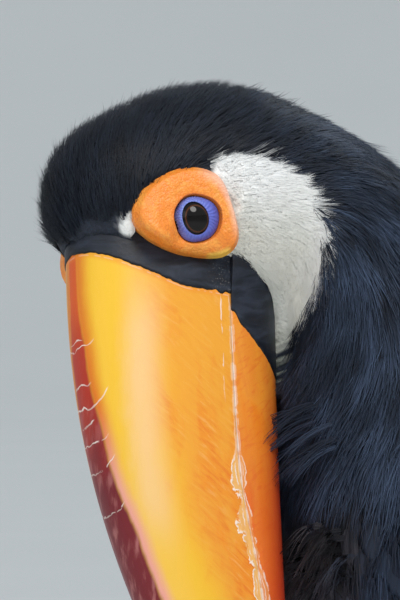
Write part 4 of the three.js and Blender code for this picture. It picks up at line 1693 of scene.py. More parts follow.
@dataclass(frozen=True)
class HornFinish:
    """The bill's horn: yellow to orange with a dark ridge, streaks and pale flakes."""

    yellow: Colour = (0.86, 0.50, 0.030)
    # Peach: the pale strokes in the horn, and the painted gleam.
    peach: Colour = (0.88, 0.56, 0.26)
    orange: Colour = (0.82, 0.31, 0.032)
    amber: Colour = (0.82, 0.235, 0.014)
    ember: Colour = (0.72, 0.105, 0.014)
    stripe: Colour = (0.48, 0.036, 0.016)
    wine: Colour = (0.18, 0.018, 0.024)
    # The pink is a painted sheen.
    pink: Colour = (0.80, 0.33, 0.30)
    flake: Colour = (0.92, 0.80, 0.72)
    chip: Colour = (0.86, 0.50, 0.17)
    cracks: tuple = ((37, 5, 0.26), (39.5, 8, 0.34), (51, 5, 0.4), (58.5, 11, 0.5),
                     (63, 4.5, 0.42), (69, 8, 0.3), (77, 9, 0.36), (90, 8, 0.32))
    black: Colour = (0.012, 0.009, 0.008)

    def _edge_flakes(self, h: Horn, full: float) -> tuple[Wire, Wire]:
        """The lines of chipped horn along the cutting edge, and the thin horn between them.

        Args:
            h: What they are placed by.
            full: How strongly this half is chipped.

        Returns:
            The lines and the thin horn, from 0 to 1.
        """
        g, edge = h.g, h.edge
        slow, quick = g.noise(g.place(), 95, 2), g.noise(g.place(), 330, 3)
        late = g.ramp(h.ahead, 68, 76) * full
        reach = 0.6 + 1.2 * (quick - 0.5) + late * (1.6 + 11 * (slow - 0.5) + 4 * (quick - 0.5))
        reach = reach.larger(0.15)
        outer = 1 - g.ramp((edge - reach).size(), 0.08, 0.42)
        outer = outer * g.ramp(quick, 0.42, 0.54) * (0.3 + 0.7 * late)
        inner = 1 - g.ramp((edge - reach * 0.5).size(), 0.05, 0.3)
        inner = inner * g.ramp(slow, 0.50, 0.58) * late
        wear = g.ramp(slow, 0.42, 0.56)
        seam = (1 - g.ramp(edge, 0.1, 0.25 + 0.6 * wear)) * (0.25 + 0.55 * g.ramp(quick, 0.4, 0.55))
        thin = (1 - g.ramp(edge - reach, -0.2, 0.5)) * (0.2 + 0.5 * late)
        return outer.larger(inner).larger(seam), thin

    def _cracks(self, h: Horn) -> Wire:
        """Fine curved cracks across the ridge."""
        g, ridge = h.g, h.ridge
        slow, quick = g.noise(g.place(), 150, 2), g.noise(g.place(), 500, 2)
        bend = 0.075 * (ridge - 2.2) * (ridge - 2.2) + 5 * (slow - 0.5) + 0.8 * (quick - 0.5)
        found = None
        for place, reach, wide in self.cracks:
            line = 1 - g.ramp((h.ahead + bend - place).size(), 0.06, wide)
            line = line * (1 - g.ramp(ridge + 3 * (slow - 0.5), reach - 1.5, reach))
            found = line if found is None else found.larger(line)
        return found * g.ramp(quick, 0.36, 0.46) * (0.5 + 0.5 * g.ramp(slow, 0.4, 0.6))

    def _ended(self, h: Horn, paint: Paint, flake: Wire) -> Finish:
        """Adds the pale flakes and the surface.

        Args:
            h: What they are placed by.
            paint: The horn's colour.
            flake: Where it is flaked.

        Returns:
            The finished material.
        """
        g = h.g
        flake = flake * g.ramp(h.gap, 0, 1.5)
        paint.over(self.flake, flake * 0.9)
        grain = g.noise(g.scaled(g.place(), 1, 1, 0.12), 1500, 2)
        height = h.fine * 0.35 + grain * 0.2 + flake * 0.8
        rough = 0.34 + 0.12 * h.fine + 0.3 * flake
        return g.skin(Base_Color=paint.colour, Roughness=rough, Normal=g.bump(height, 0.0002, 0.6),
                      Coat_Weight=0.12, Coat_Roughness=0.2, Specular_IOR_Level=0.22)

    def _flank(self, h: Horn, far: Wire) -> Paint:
        """The upper half's ground, from yellow at the ridge to a patchy orange flank."""
        g, wide = h.g, h.wide
        side = g.ramp(h.ridge + (wide - 0.5) * 14, 14, 34)
        paint = g.paint(self.yellow, self.orange, side * (0.75 + 0.2 * far))
        blush = g.ramp(wide + 0.3 * (h.fine - 0.5), 0.46, 0.64) * g.ramp(h.ridge, 17, 32)
        paint.over(self.amber, blush * (0.35 + 0.3 * far))
        flank = g.ramp(h.ridge + (wide - 0.5) * 20, 19, 34)
        patchy = flank * (0.35 + 0.9 * g.ramp(wide, 0.42, 0.62))
        strokes = h.strokes()
        paint.over(self.ember, g.ramp(strokes, 0.47, 0.68) * patchy * (0.16 + 0.24 * far))
        paint.over(self.peach, (1 - g.ramp(strokes, 0.32, 0.46)) * patchy * 0.16)
        return paint

    def _glow(self, h: Horn, paint: Paint) -> None:
        """Lays the painted highlight: a long pale gleam beside the ridge, and a painted sunlit yellow in
        front of it.
        """
        g, ahead, ridge = h.g, h.ahead, h.ridge
        # Painted highlight: a pale peach gleam in a long band beside the ridge, nearer the ridge further
        # along.
        lit = ridge + (ahead - 52) * 0.12
        glow = g.ramp(lit + (h.fine - 0.5) * 3, 12, 20) * (1 - g.ramp(lit, 21, 31))
        glow = glow * g.ramp(ahead, 10, 40) * (1 - 0.5 * g.ramp(ahead, 84, 110))
        paint.over(self.peach, glow * (0.65 + 0.5 * (h.wide - 0.4)))
        # Painted light: a sunlit patch of yellow far along the flank.
        painted_light_patch = g.ramp(ahead, 88, 108) * (1 - g.ramp(ridge, 20, 34)) * g.ramp(ridge, 9, 14)
        paint.over(self.yellow, painted_light_patch * 0.6)

    def _stripe(self, h: Horn, paint: Paint, far: Wire) -> None:
        """Lays the red stripe along the ridge, with its rosy fringe; the fringe's pink further along and the
        pale pink mottles on the stripe are a painted sheen.
        """
        g, ahead, wide, fine = h.g, h.ahead, h.wide, h.fine
        width = 2.5 + 1.6 * g.ramp(ahead, 22, 44) + 2 * g.ramp(ahead, 44, 72)
        width = width + 2.4 * g.ramp(ahead, 76, 100)
        off = h.ridge - width - 1.2 * (fine - 0.5) - 0.8 * (wide - 0.5)
        outside = g.ramp(off, -0.9, 0.9)
        fringe = (1 - g.ramp(off, 0.2, 6.4 - 1.6 * far)) * outside
        # The fringe is orange-red, turning to a painted pink sheen further along.
        rose = g.blend(self.ember, self.pink, g.ramp(ahead, 55, 85))
        paint.over(rose, fringe * (0.75 + 0.2 * far))
        stripe = g.paint(self.ember, self.stripe, g.ramp(ahead + (wide - 0.5) * 14, 22, 46))
        stripe.over(self.wine, g.ramp(ahead + (wide - 0.5) * 24, 48, 84))
        # Painted sheen: pale pink mottles on the stripe, further along.
        stripe.over(self.pink, g.ramp(fine, 0.46, 0.72) * 0.32 * far)
        paint.under(stripe.colour, outside)
        paint.over(self.amber, (1 - g.ramp(h.gap, 0.3, 2.4)) * 0.5)

    def _tip(self, h: Horn) -> Wire:
        """Where the upper half's tip is black, in a patch with a round edge."""
        g, ahead, ridge = h.g, h.ahead, h.ridge
        near_tip, arc = g.ramp(ahead, 148, 184), ridge - 13 + 6 * g.ramp(ahead, 140, 170)
        tip = g.ramp(ahead + (h.wide - 0.5) * 8 - arc * arc * 0.11, 132, 137)
        return tip * g.ramp(ridge + 5 * near_tip + (h.fine - 0.5) * 2, 6, 8.5)

    def upper(self) -> Finish:
        """The upper half."""
        h = Horn.started("upper_horn")
        g, ahead, fine = h.g, h.ahead, h.fine
        far = g.ramp(ahead, 30, 100)
        paint = self._flank(h, far)
        self._glow(h, paint)
        self._stripe(h, paint, far)
        paint.over(self.black, self._tip(h))
        lines, thin = self._edge_flakes(h, 1)
        worn = 1 - 0.85 * g.ramp(ahead, 118, 140)
        paint.over(self.chip, thin * worn)
        mark = 1 - g.ramp((h.edge - 3.6 - 5 * (h.wide - 0.5)).size(), 0.05, 0.36)
        mark = mark * g.ramp(ahead, 18, 24) * (1 - g.ramp(ahead, 46, 56)) * g.ramp(fine, 0.46, 0.54)
        rim = (1 - g.ramp((h.gap - 0.6).size(), 0.1, 0.4)) * g.ramp(fine, 0.44, 0.54)
        lines = (lines * worn).larger(mark * 0.8).larger(self._cracks(h)).larger(rim * 0.6)
        return self._ended(h, paint, lines)

    def lower(self) -> Finish:
        """The lower half."""
        h = Horn.started("lower_horn")
        g, ahead, ridge, wide = h.g, h.ahead, h.ridge, h.wide
        paint = g.paint(self.amber, self.orange, g.ramp(wide, 0.35, 0.6))
        blush = g.ramp(wide + 0.3 * (h.fine - 0.5), 0.46, 0.66)
        paint.over(self.ember, blush * 0.3 + 0.6 * g.ramp(ahead, 40, 100))
        paint.over(self.ember, g.ramp(h.strokes(), 0.5, 0.7) * 0.4)
        keel = 1 - g.ramp(ridge + (wide - 0.5) * 8, 10, 28)
        paint.over(self.ember, keel * (0.25 + 0.75 * g.ramp(ahead, 25, 105)))
        rim = (1 - g.ramp(ridge + (wide - 0.5) * 6, 11, 26)) * g.ramp(ahead, 42, 68)
        paint.over(self.stripe, rim * 0.9)
        paint.over(self.wine, g.ramp(ahead + (wide - 0.5) * 10, 150, 184) * 0.8)
        lines, thin = self._edge_flakes(h, 0.5)
        paint.over(self.chip, thin * 0.7)
        return self._ended(h, paint, lines)

    def band(self) -> Finish:
        """The black band at the base."""
        g = Graph("band_horn")
        place = g.place()
        long = g.noise(g.scaled(place, 0.35, 0.35, 1), 260, 3, 0.8)
        fine = g.noise(place, 1600, 3)
        raw = g.trait("raw")
        # Long random streaks lighten the black to blue-grey: partly the horn's own streaks, partly a painted
        # sheen.
        paint = g.paint((0.008, 0.010, 0.016), (0.040, 0.052, 0.080), g.ramp(long, 0.35, 0.75) * 0.6)
        paint.under((0.006, 0.006, 0.007), g.ramp(g.trait("brink"), 0.15, 0.9))
        scale = g.ramp(fine, 0.55, 0.75) * raw
        paint.over((0.22, 0.22, 0.22), scale * 0.6)
        rough = 0.34 + 0.2 * long + 0.25 * raw
        height = long * 0.5 + fine * (0.15 + raw)
        return g.skin(Base_Color=paint.colour, Roughness=rough, Normal=g.bump(height, 0.0003, 0.7),
                      Specular_IOR_Level=0.28)


@dataclass(frozen=True)
class FaceFinish:
    """The bare skin round the eye, and the eye."""

    orange: Colour = (0.91, 0.27, 0.030)
    amber: Colour = (0.93, 0.41, 0.07)
    deep: Colour = (0.72, 0.15, 0.018)
    yellow: Colour = (0.95, 0.62, 0.10)
    rose: Colour = (0.92, 0.52, 0.38)
    blue: Colour = (0.11, 0.14, 0.54)
    # The paler blue is painted light on the ring's lit side.
    pale_blue: Colour = (0.27, 0.38, 0.78)
    violet: Colour = (0.075, 0.040, 0.22)
    rim: Colour = (0.012, 0.008, 0.012)
    pupil: Colour = (0.003, 0.002, 0.002)
    iris: Colour = (0.11, 0.035, 0.010)

    def bare_skin(self) -> Finish:
        """The lids, the blue ring and the pebbled orange skin."""
        g = Graph("bare_skin")
        zone, place = g.trait("zone"), g.place()
        cloud, pebble = g.noise(place, 230, 3, 0.4), g.cells(place, 1500)
        fine = g.noise(place, 2400, 3)
        skin = g.paint(self.orange, self.amber, g.ramp(cloud, 0.4, 0.7) * 0.7)
        skin.over(self.deep, g.ramp(pebble, 0.35, 0.8) * 0.35)
        # Painted shade: deep orange darkens the groove just outside the blue ring.
        painted_groove_shade = g.ramp(zone, 1, 1.03) * (1 - g.ramp(zone, 1.06, 1.22))
        skin.over(self.deep, painted_groove_shade * 0.7)
        back = (g.trait("turn_x") * -0.55 - g.trait("turn_y") * 0.83).larger(0)
        skin.over(self.rose, g.ramp(zone, 1.5, 1.92) * g.ramp(back, 0.45, 0.95) * 0.85)
        low = g.trait("turn_x") * 0.75 - g.trait("turn_y") * 0.66
        skin.over(self.yellow, g.ramp(low, 0.95, 0.99) * g.ramp(zone, 1.66, 1.84) * 0.8)
        # Painted light: the blue ring is paler towards its top and back, on the lit side, in fine flecks.
        lit = (g.trait("turn_y") * 0.6 - g.trait("turn_x") * 0.2 + 0.4).larger(0)
        ring = g.paint(self.blue, self.pale_blue, (g.ramp(fine, 0.3, 0.8) * lit).smaller(1))
        ring.over(self.violet, g.ramp(cloud, 0.45, 0.7) * 0.5 * g.ramp(zone, 0.3, 0.9))
        ring.over(self.violet, g.ramp(low, 0.3, 1) * g.ramp(zone, 0.35, 0.9) * 0.45)
        # A painted shadow line: near black along the blue ring's outer edge, under the orange skin's rim.
        ring.over(self.rim, g.ramp(zone, 0.93, 1))
        ring.under(self.rim, g.ramp(zone, 0, 0.09))
        paint = g.paint(ring.colour, skin.colour, g.ramp(zone, 0.995, 1.035))
        rough = 0.44 - 0.08 * g.ramp(pebble, 0.2, 0.7)
        height = pebble * -0.7 * g.ramp(zone, 1, 1.1) + fine * 0.35
        return g.skin(Base_Color=paint.colour, Roughness=rough, Normal=g.bump(height, 0.0003, 0.8),
                      Specular_IOR_Level=0.45)

    def eye(self) -> Finish:
        """The dark eye with its thin brown ring, wet and clear."""
        g = Graph("eye_gloss")
        along, across = g.trait("along") + 0.25, g.trait("across") - 0.35
        off = (along * along * 0.72 + across * across) ** 0.5
        ring = g.ramp(off, 3.15, 3.4) * (1 - g.ramp(off, 3.5, 3.8))
        streak = g.noise(g.place(), 2600, 2)
        paint = g.paint(self.pupil, self.iris, ring * (0.35 + 0.7 * streak))
        return g.skin(Base_Color=paint.colour, Roughness=0.03, Specular_IOR_Level=0.25)


# ---------------------------------------------------------------- the studio
@dataclass(frozen=True)
class Lamp:
    """A soft round lamp: its place from the head and its size in metres, its power and its tint."""

    name: str
    place: tuple
    size: float
    watts: float
    tint: Colour


@dataclass(frozen=True)
class Studio:
    """The camera, the pale floor that curves up far behind, and the soft lights.

    Attributes:
        distance: From the camera to the bird, in metres.
        tall: The height of the view there, in metres.
        sensor: The camera's own.
        across: The view's middle from the eyes, backward along the bird.
        down: The same, upward.
        plane: How far left of the eyes' middle the distance is measured from.
        floor_flat: How far the flat floor goes, in metres.
        floor_curve: The radius of its curve behind that.
        around: The floor's points round a ring.
    """

    head: Head
    distance: float = 1.8
    tall: float = 0.1818
    sensor: float = 36.0
    across: float = 13.9
    down: float = -17.0
    plane: float = 27.5
    floor_flat: float = 9.0
    floor_curve: float = 5.0
    around: int = 64
    shades: tuple = ((0.70, 0.71, 0.71), (0.73, 0.74, 0.74))
    sky: Colour = (0.90, 0.96, 1.0)
    sky_strength: float = 0.76
    lamps: tuple = (
        Lamp("key", (0.78, 0.22, 1.0), 0.6, 9.8, (1.0, 0.98, 0.95)),
        Lamp("fill", (1.1, -0.9, 0.6), 0.9, 2.0, (0.95, 0.98, 1.0)),
        Lamp("back", (-0.9, 0.7, 0.9), 0.7, 3.0, (0.85, 0.93, 1.0)),
    )

    def camera(self) -> None:
        """Sets the camera level, at the bird's left side."""
        data = bpy.data.cameras.new("camera")
        data.sensor_width = self.sensor
        data.lens = self.sensor * self.distance / self.tall
        data.clip_start, data.clip_end = 0.05, 100.0
        camera = bpy.data.objects.new("camera", data)
        spot = (self.head.eyes + np.array([self.plane, self.across, self.down])) * MM
        camera.location = (spot[0] + self.distance, spot[1], spot[2])
        camera.rotation_euler = (math.pi / 2, 0.0, math.pi / 2)
        bpy.context.scene.collection.objects.link(camera)
        bpy.context.scene.camera = camera
        bpy.context.scene.view_settings.view_transform = "Standard"

    def floor(self) -> None:
        """Makes the floor."""
        bend = np.linspace(0, math.pi / 2, 12)
        reach = np.concatenate([[0.02, 1.0, 3.0], self.floor_flat + self.floor_curve * np.sin(bend)])
        rise = np.concatenate([[0.0, 0.0, 0.0], self.floor_curve * (1 - np.cos(bend))])
        step = np.arange(self.around)
        turn = circle(self.around)
        rings = xyz(reach[:, None] * np.cos(turn), reach[:, None] * np.sin(turn), rise[:, None]) / MM
        g = Graph("pale_floor")
        colour = g.blend(*self.shades, g.noise(g.place(), 3.0))
        grid = grid_faces(len(reach), self.around)
        middle = xyz(step, (step + 1) % self.around, self.around * len(reach))
        points = np.concatenate([rings.reshape(-1, 3), np.zeros((1, 3))])
        floor = Shell(points, [grid, middle[:, ::-1]]).piece(
            "floor", g.skin(Base_Color=colour, Roughness=0.9))

    def lamp(self, lamp: Lamp) -> None:
        """Hangs a soft lamp that looks at the head."""
        data = bpy.data.lights.new(lamp.name, "AREA")
        data.shape, data.size, data.energy, data.color = "DISK", lamp.size, lamp.watts, lamp.tint
        hung = bpy.data.objects.new(lamp.name, data)
        hung.location = Vector(self.head.eyes * MM) + Vector(lamp.place)
        hung.rotation_euler = (-Vector(lamp.place)).to_track_quat("-Z", "Y").to_euler()
        bpy.context.scene.collection.objects.link(hung)

    def lights(self) -> None:
        """Sets the soft sky, the key and the fills."""
        world = bpy.data.worlds.new("sky")
        world.use_nodes = True
        sky = world.node_tree.nodes["Background"]
        sky.inputs["Color"].default_value = (*self.sky, 1.0)
        sky.inputs["Strength"].default_value = self.sky_strength
        bpy.context.scene.world = world
        for lamp in self.lamps:
            self.lamp(lamp)

    def build(self) -> None:
        """Makes all of it."""
        self.camera()
        self.floor()
        self.lights()


# ---------------------------------------------------------------- vanes, wings and tail
class VaneTree(Nodes):
    """Geometry Nodes that set one vane on each point of a mesh and lay its map out."""

    GIVEN = {"Points": "Geometry", "Vane": "Object", "Finish": "Material"}
    SIZES = {"Camber": 0.5, "Shaft": 0.12, "Patch": TUFT_PATCH}
    SHAFT_HALF = 0.001

    def __init__(self) -> None:
        """Wires the tree."""
        super().__init__(bpy.data.node_groups.new("vanes", "GeometryNodeTree"))
        for name, kind in self.GIVEN.items():
            self._socket(name, kind, "INPUT")
        for name, size in self.SIZES.items():
            self._socket(name, "Float", "INPUT").default_value = size
        self._socket("Vanes", "Geometry", "OUTPUT")
        given = self.node("NodeGroupInput").node
        points, vane, finish, camber, shaft, patch = (Wire(self, given, k) for k in range(6))
        source = self.node("GeometryNodeObjectInfo", None, "Geometry", _0=vane)
        turn = self.node("FunctionNodeAxesToRotation", {"primary_axis": "Y", "secondary_axis": "Z"},
                         _0=self._named("ahead"), _1=self._named("out"))
        placed = self.node("GeometryNodeInstanceOnPoints", Points=points, Rotation=turn,
                           Instance=self._bent(source, camber, shaft), Scale=self._named("size"))
        real = self.node("GeometryNodeRealizeInstances", Geometry=placed)
        flat = self.node("ShaderNodeVectorMath", {"operation": "SCALE"}, _0=self._named("at"), Scale=patch)
        spot = self.node("ShaderNodeVectorMath", {"operation": "ADD"}, _0=flat, _1=self._named("spot"))
        mapped = self.node("GeometryNodeStoreNamedAttribute", {"data_type": "FLOAT2", "domain": "CORNER"},
                           Geometry=real, Name=BAKE_MAP, Value=spot)
        dressed = self.node("GeometryNodeSetMaterial", Geometry=mapped, Material=finish)
        self.node("NodeGroupOutput", _0=dressed)

    def _socket(self, name: str, kind: str, way: str) -> bpy.types.NodeTreeInterfaceSocket:
        """Adds a named input or output to the tree."""
        return self.tree.interface.new_socket(name, in_out=way, socket_type=f"NodeSocket{kind}")

    def _named(self, name: str) -> Wire:
        """A direction or place that the points carry."""
        return self.node("GeometryNodeInputNamedAttribute", {"data_type": "FLOAT_VECTOR"}, "Attribute",
                         Name=name)

    def _bent(self, vane: Wire, camber: Wire, shaft: Wire) -> Wire:
        """Curves the vane's sides down from its shaft, and raises the shaft."""
        across = self.node("ShaderNodeSeparateXYZ", _0=self.node("GeometryNodeInputPosition"))
        square = across * across
        rise = square.maths("LESS_THAN", self.SHAFT_HALF) * shaft - square * camber
        return self.node("GeometryNodeSetPosition", Geometry=vane,
                         Offset=self.node("ShaderNodeCombineXYZ", Z=rise))

    def grown(self, name: str, points: Mesh, vane: Piece,
              finish: Finish) -> Piece:
        """Runs the tree.

        Args:
            name: The new piece's name.
            points: The roots, with the values that the tree reads.
            vane: The vane to set on each.
            finish: The piece's material.

        Returns:
            The piece, as a plain mesh.
        """
        roots = bpy.data.objects.new("roots", points)
        bpy.context.scene.collection.objects.link(roots)
        modifier = roots.modifiers.new("vanes", "NODES")
        modifier.node_group = self.tree
        values = {"Vane": vane, "Finish": finish, **self.SIZES}
        for item in self.tree.interface.items_tree:
            if item.in_out == "INPUT" and item.name in values:
                modifier[item.identifier] = values[item.name]
        mesh = bpy.data.meshes.new_from_object(roots.evaluated_get(bpy.context.evaluated_depsgraph_get()))
        roots.modifiers.remove(modifier)
        bpy.data.objects.remove(roots)
        mesh.name = name
        mesh.shade_smooth()
        return place_mesh(name, mesh, finish)


@dataclass(frozen=True)
class Vane:
    """One small feather: a thin closed leaf of length 1 and width 1, with a frayed end.

    Attributes:
        rows: Rings along it.
        thick: Its thickness, as a share of its arch.
        fray: How uneven its end is.
    """

    rows: int = 6
    thick: float = 0.16
    fray: float = 0.05
    across: tuple = (-1.0, -0.5, 0.0, 0.5, 1.0, 0.5, -0.5)

    def build(self) -> Piece:
        """Makes the vane, to be set on many points."""
        run = column(self.rows)
        wide = 0.06 + 0.44 * np.sin(math.pi * np.clip(run, 0, 0.98) ** 0.75) ** 0.6
        side = np.array(self.across)[None]
        ends = self.fray * np.sin(9 * side + 1) * run**4 - 0.10 * side**2 * run**2
        under = np.array([0, 0, 0, 0, 0, 1, 1])[None]
        height = 4 * run * (1 - run) - self.thick * under
        at = xyz(0.5 * side, run - 0.5)
        body = ring_body(xyz(wide * side, run + ends, height), {"at": at, "along": run, "across": side})
        body.points = body.points / MM
        vane = bpy.data.objects.new("vane", body.mesh("vane"))
        bpy.context.scene.collection.objects.link(vane)
        return vane


@dataclass(frozen=True)
class Wing:
    """The folded wing's lines: the run goes from its bend to its tip, the share across it.

    Attributes:
        bend: The wing's bend, on the standing bird's left.
        tip: The tip of the longest feather.
        tall: Half its greatest height.
        arch: How far it bows up over the flank.
    """

    head: Head
    side: Side
    bend: tuple = (26.0, -53.0, 127.0)
    tip: tuple = (18.0, 150.0, 62.0)
    tall: float = 42.0
    arch: float = 16.0

    def _ways(self) -> tuple[Array, Array, float]:
        """The way along the wing, the way up it and its length, seen from the side."""
        run = np.array(self.tip)[1:] - np.array(self.bend)[1:]
        length = float(np.linalg.norm(run))
        way = run / length
        return way, np.array([-way[1], way[0]]), length

    def half_height(self, run: Array) -> Array:
        """Half the wing's height at each run."""
        run = np.clip(run, 0, 1)
        return self.tall * np.sin(math.pi * run**0.62) ** 0.6 * mix(1, 0.75, run)

    def _rise(self, run: Array) -> Array:
        """How far its middle bows up."""
        return self.arch * np.sin(math.pi * np.clip(run, 0, 1) ** 0.8) ** 2

    def lay(self, run: Array, share: Array) -> Array:
        """Places seen from the side, along the bird and up, in the standing frame."""
        way, up, length = self._ways()
        rise = self.half_height(run) * share + self._rise(run)
        return np.array(self.bend)[1:] + (run * length)[..., None] * way + rise[..., None] * up

    def measure(self, points: Array) -> tuple[Array, Array]:
        """The run and the share of points in the model's frame."""
        stand = self.head.stand(points)
        way, up, length = self._ways()
        off = stand[:, 1:] - np.array(self.bend)[1:]
        run = off @ way / length
        return run, (off @ up - self._rise(run)) / np.maximum(self.half_height(run), 1.0)

    def covers(self, points: Array, front: float, back: float, edge: float) -> Array:
        """Which points of the model's frame lie under this wing, between two runs."""
        run, share = self.measure(points)
        out = self.head.stand(points)[:, 0] * self.side.value
        return (out > 20) & (run > front) & (run < back) & (np.abs(share) < edge)


@dataclass(frozen=True)
class Quill:
    """One long flight or tail feather.

    Attributes:
        width: Its full width.
        thick: Its thickness at the shaft.
        shaft: How far the shaft stands up.
        rows: Rings along it.
        columns: Points across it.
    """

    width: float
    thick: float = 0.45
    shaft: float = 0.35
    rows: int = 26
    columns: int = 11

    def built(self, line: Array, side: Array, out: Array, spot: Array,
              seed: int) -> Shell:
        """Makes the feather along a line.

        Args:
            line: Places from root to tip, rows x 3.
            side: The way across it at each of those.
            out: The way that its face looks.
            spot: Its root's place on the skin's map.
            seed: Fixes its small splits.

        Returns:
            A closed thin body.
        """
        rng = np.random.default_rng(seed)
        run = column(self.rows)
        across = np.linspace(-1, 1, self.columns)[None]
        wide = self.width / 2 * (0.3 + 0.7 * ease(0, 0.25, run)) * np.sqrt(
            np.clip(1 - np.maximum(0, (run - 0.86) / 0.145) ** 2.4, 0.0, 1))
        split = rng.random(self.columns)[None] * ease(0.55, 1.0, run) * 0.5
        bow = -0.05 * self.width * across**2
        ridge = self.shaft * hump(across, 0.0, 0.12) * (1 - 0.7 * run)
        lean = self.width * 0.096 * across**2 * ease(0.2, 0.9, run)
        back = unit(np.gradient(line, axis=0))[:, None]
        middle = line[:, None] + side[:, None] * (wide * across)[..., None]
        middle = middle - back * (lean + split)[..., None] * run[..., None]
        thin = self.thick * (1 - 0.6 * across**2)
        top = middle + out[:, None] * (bow + ridge + thin / 2)[..., None]
        low = (middle + out[:, None] * (bow - thin / 2)[..., None])[:, ::-1][:, 1:-1:3]
        count = low.shape[1]
        values = {"along": run, "across": widened(across, count), "tone": np.array(rng.random()),
                  "wide": np.array(self.width)}
        body = ring_body(np.concatenate([top, low], 1), values)
        flat = np.stack([0.5 * body.traits["across"], body.traits["along"] - 0.5], -1)
        body.spots[BAKE_MAP] = spot + TUFT_PATCH * flat
        return body


@dataclass(frozen=True)
class Row:
    """One row of a wing's long feathers, placed by their runs along the wing and shares across it.

    Attributes:
        name: The start of its pieces' names.
        node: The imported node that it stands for, if any.
        quill: Its kind of feather.
        count: How many there are.
        root_run: The first and the last root's run.
        root_share: Their shares.
        tip_run: The first and the last tip's run.
        tip_share: Their shares.
        layer: How far outside the wing's surface they lie.
        bunch: How the tips close up towards the first; 1 is evenly.
    """

    name: str
    node: str
    quill: Quill
    count: int
    root_run: tuple
    root_share: tuple
    tip_run: tuple
    tip_share: tuple
    layer: float
    bunch: float = 1.0

    def ends(self) -> tuple[Array, Array]:
        """The run and the share of every root, and of every tip."""
        step = np.linspace(0, 1, self.count)
        root = np.stack([mix(*self.root_run, step), mix(*self.root_share, step)], -1)
        tip = np.stack([mix(*self.tip_run, step**self.bunch), mix(*self.tip_share, step)], -1)
        return root, tip


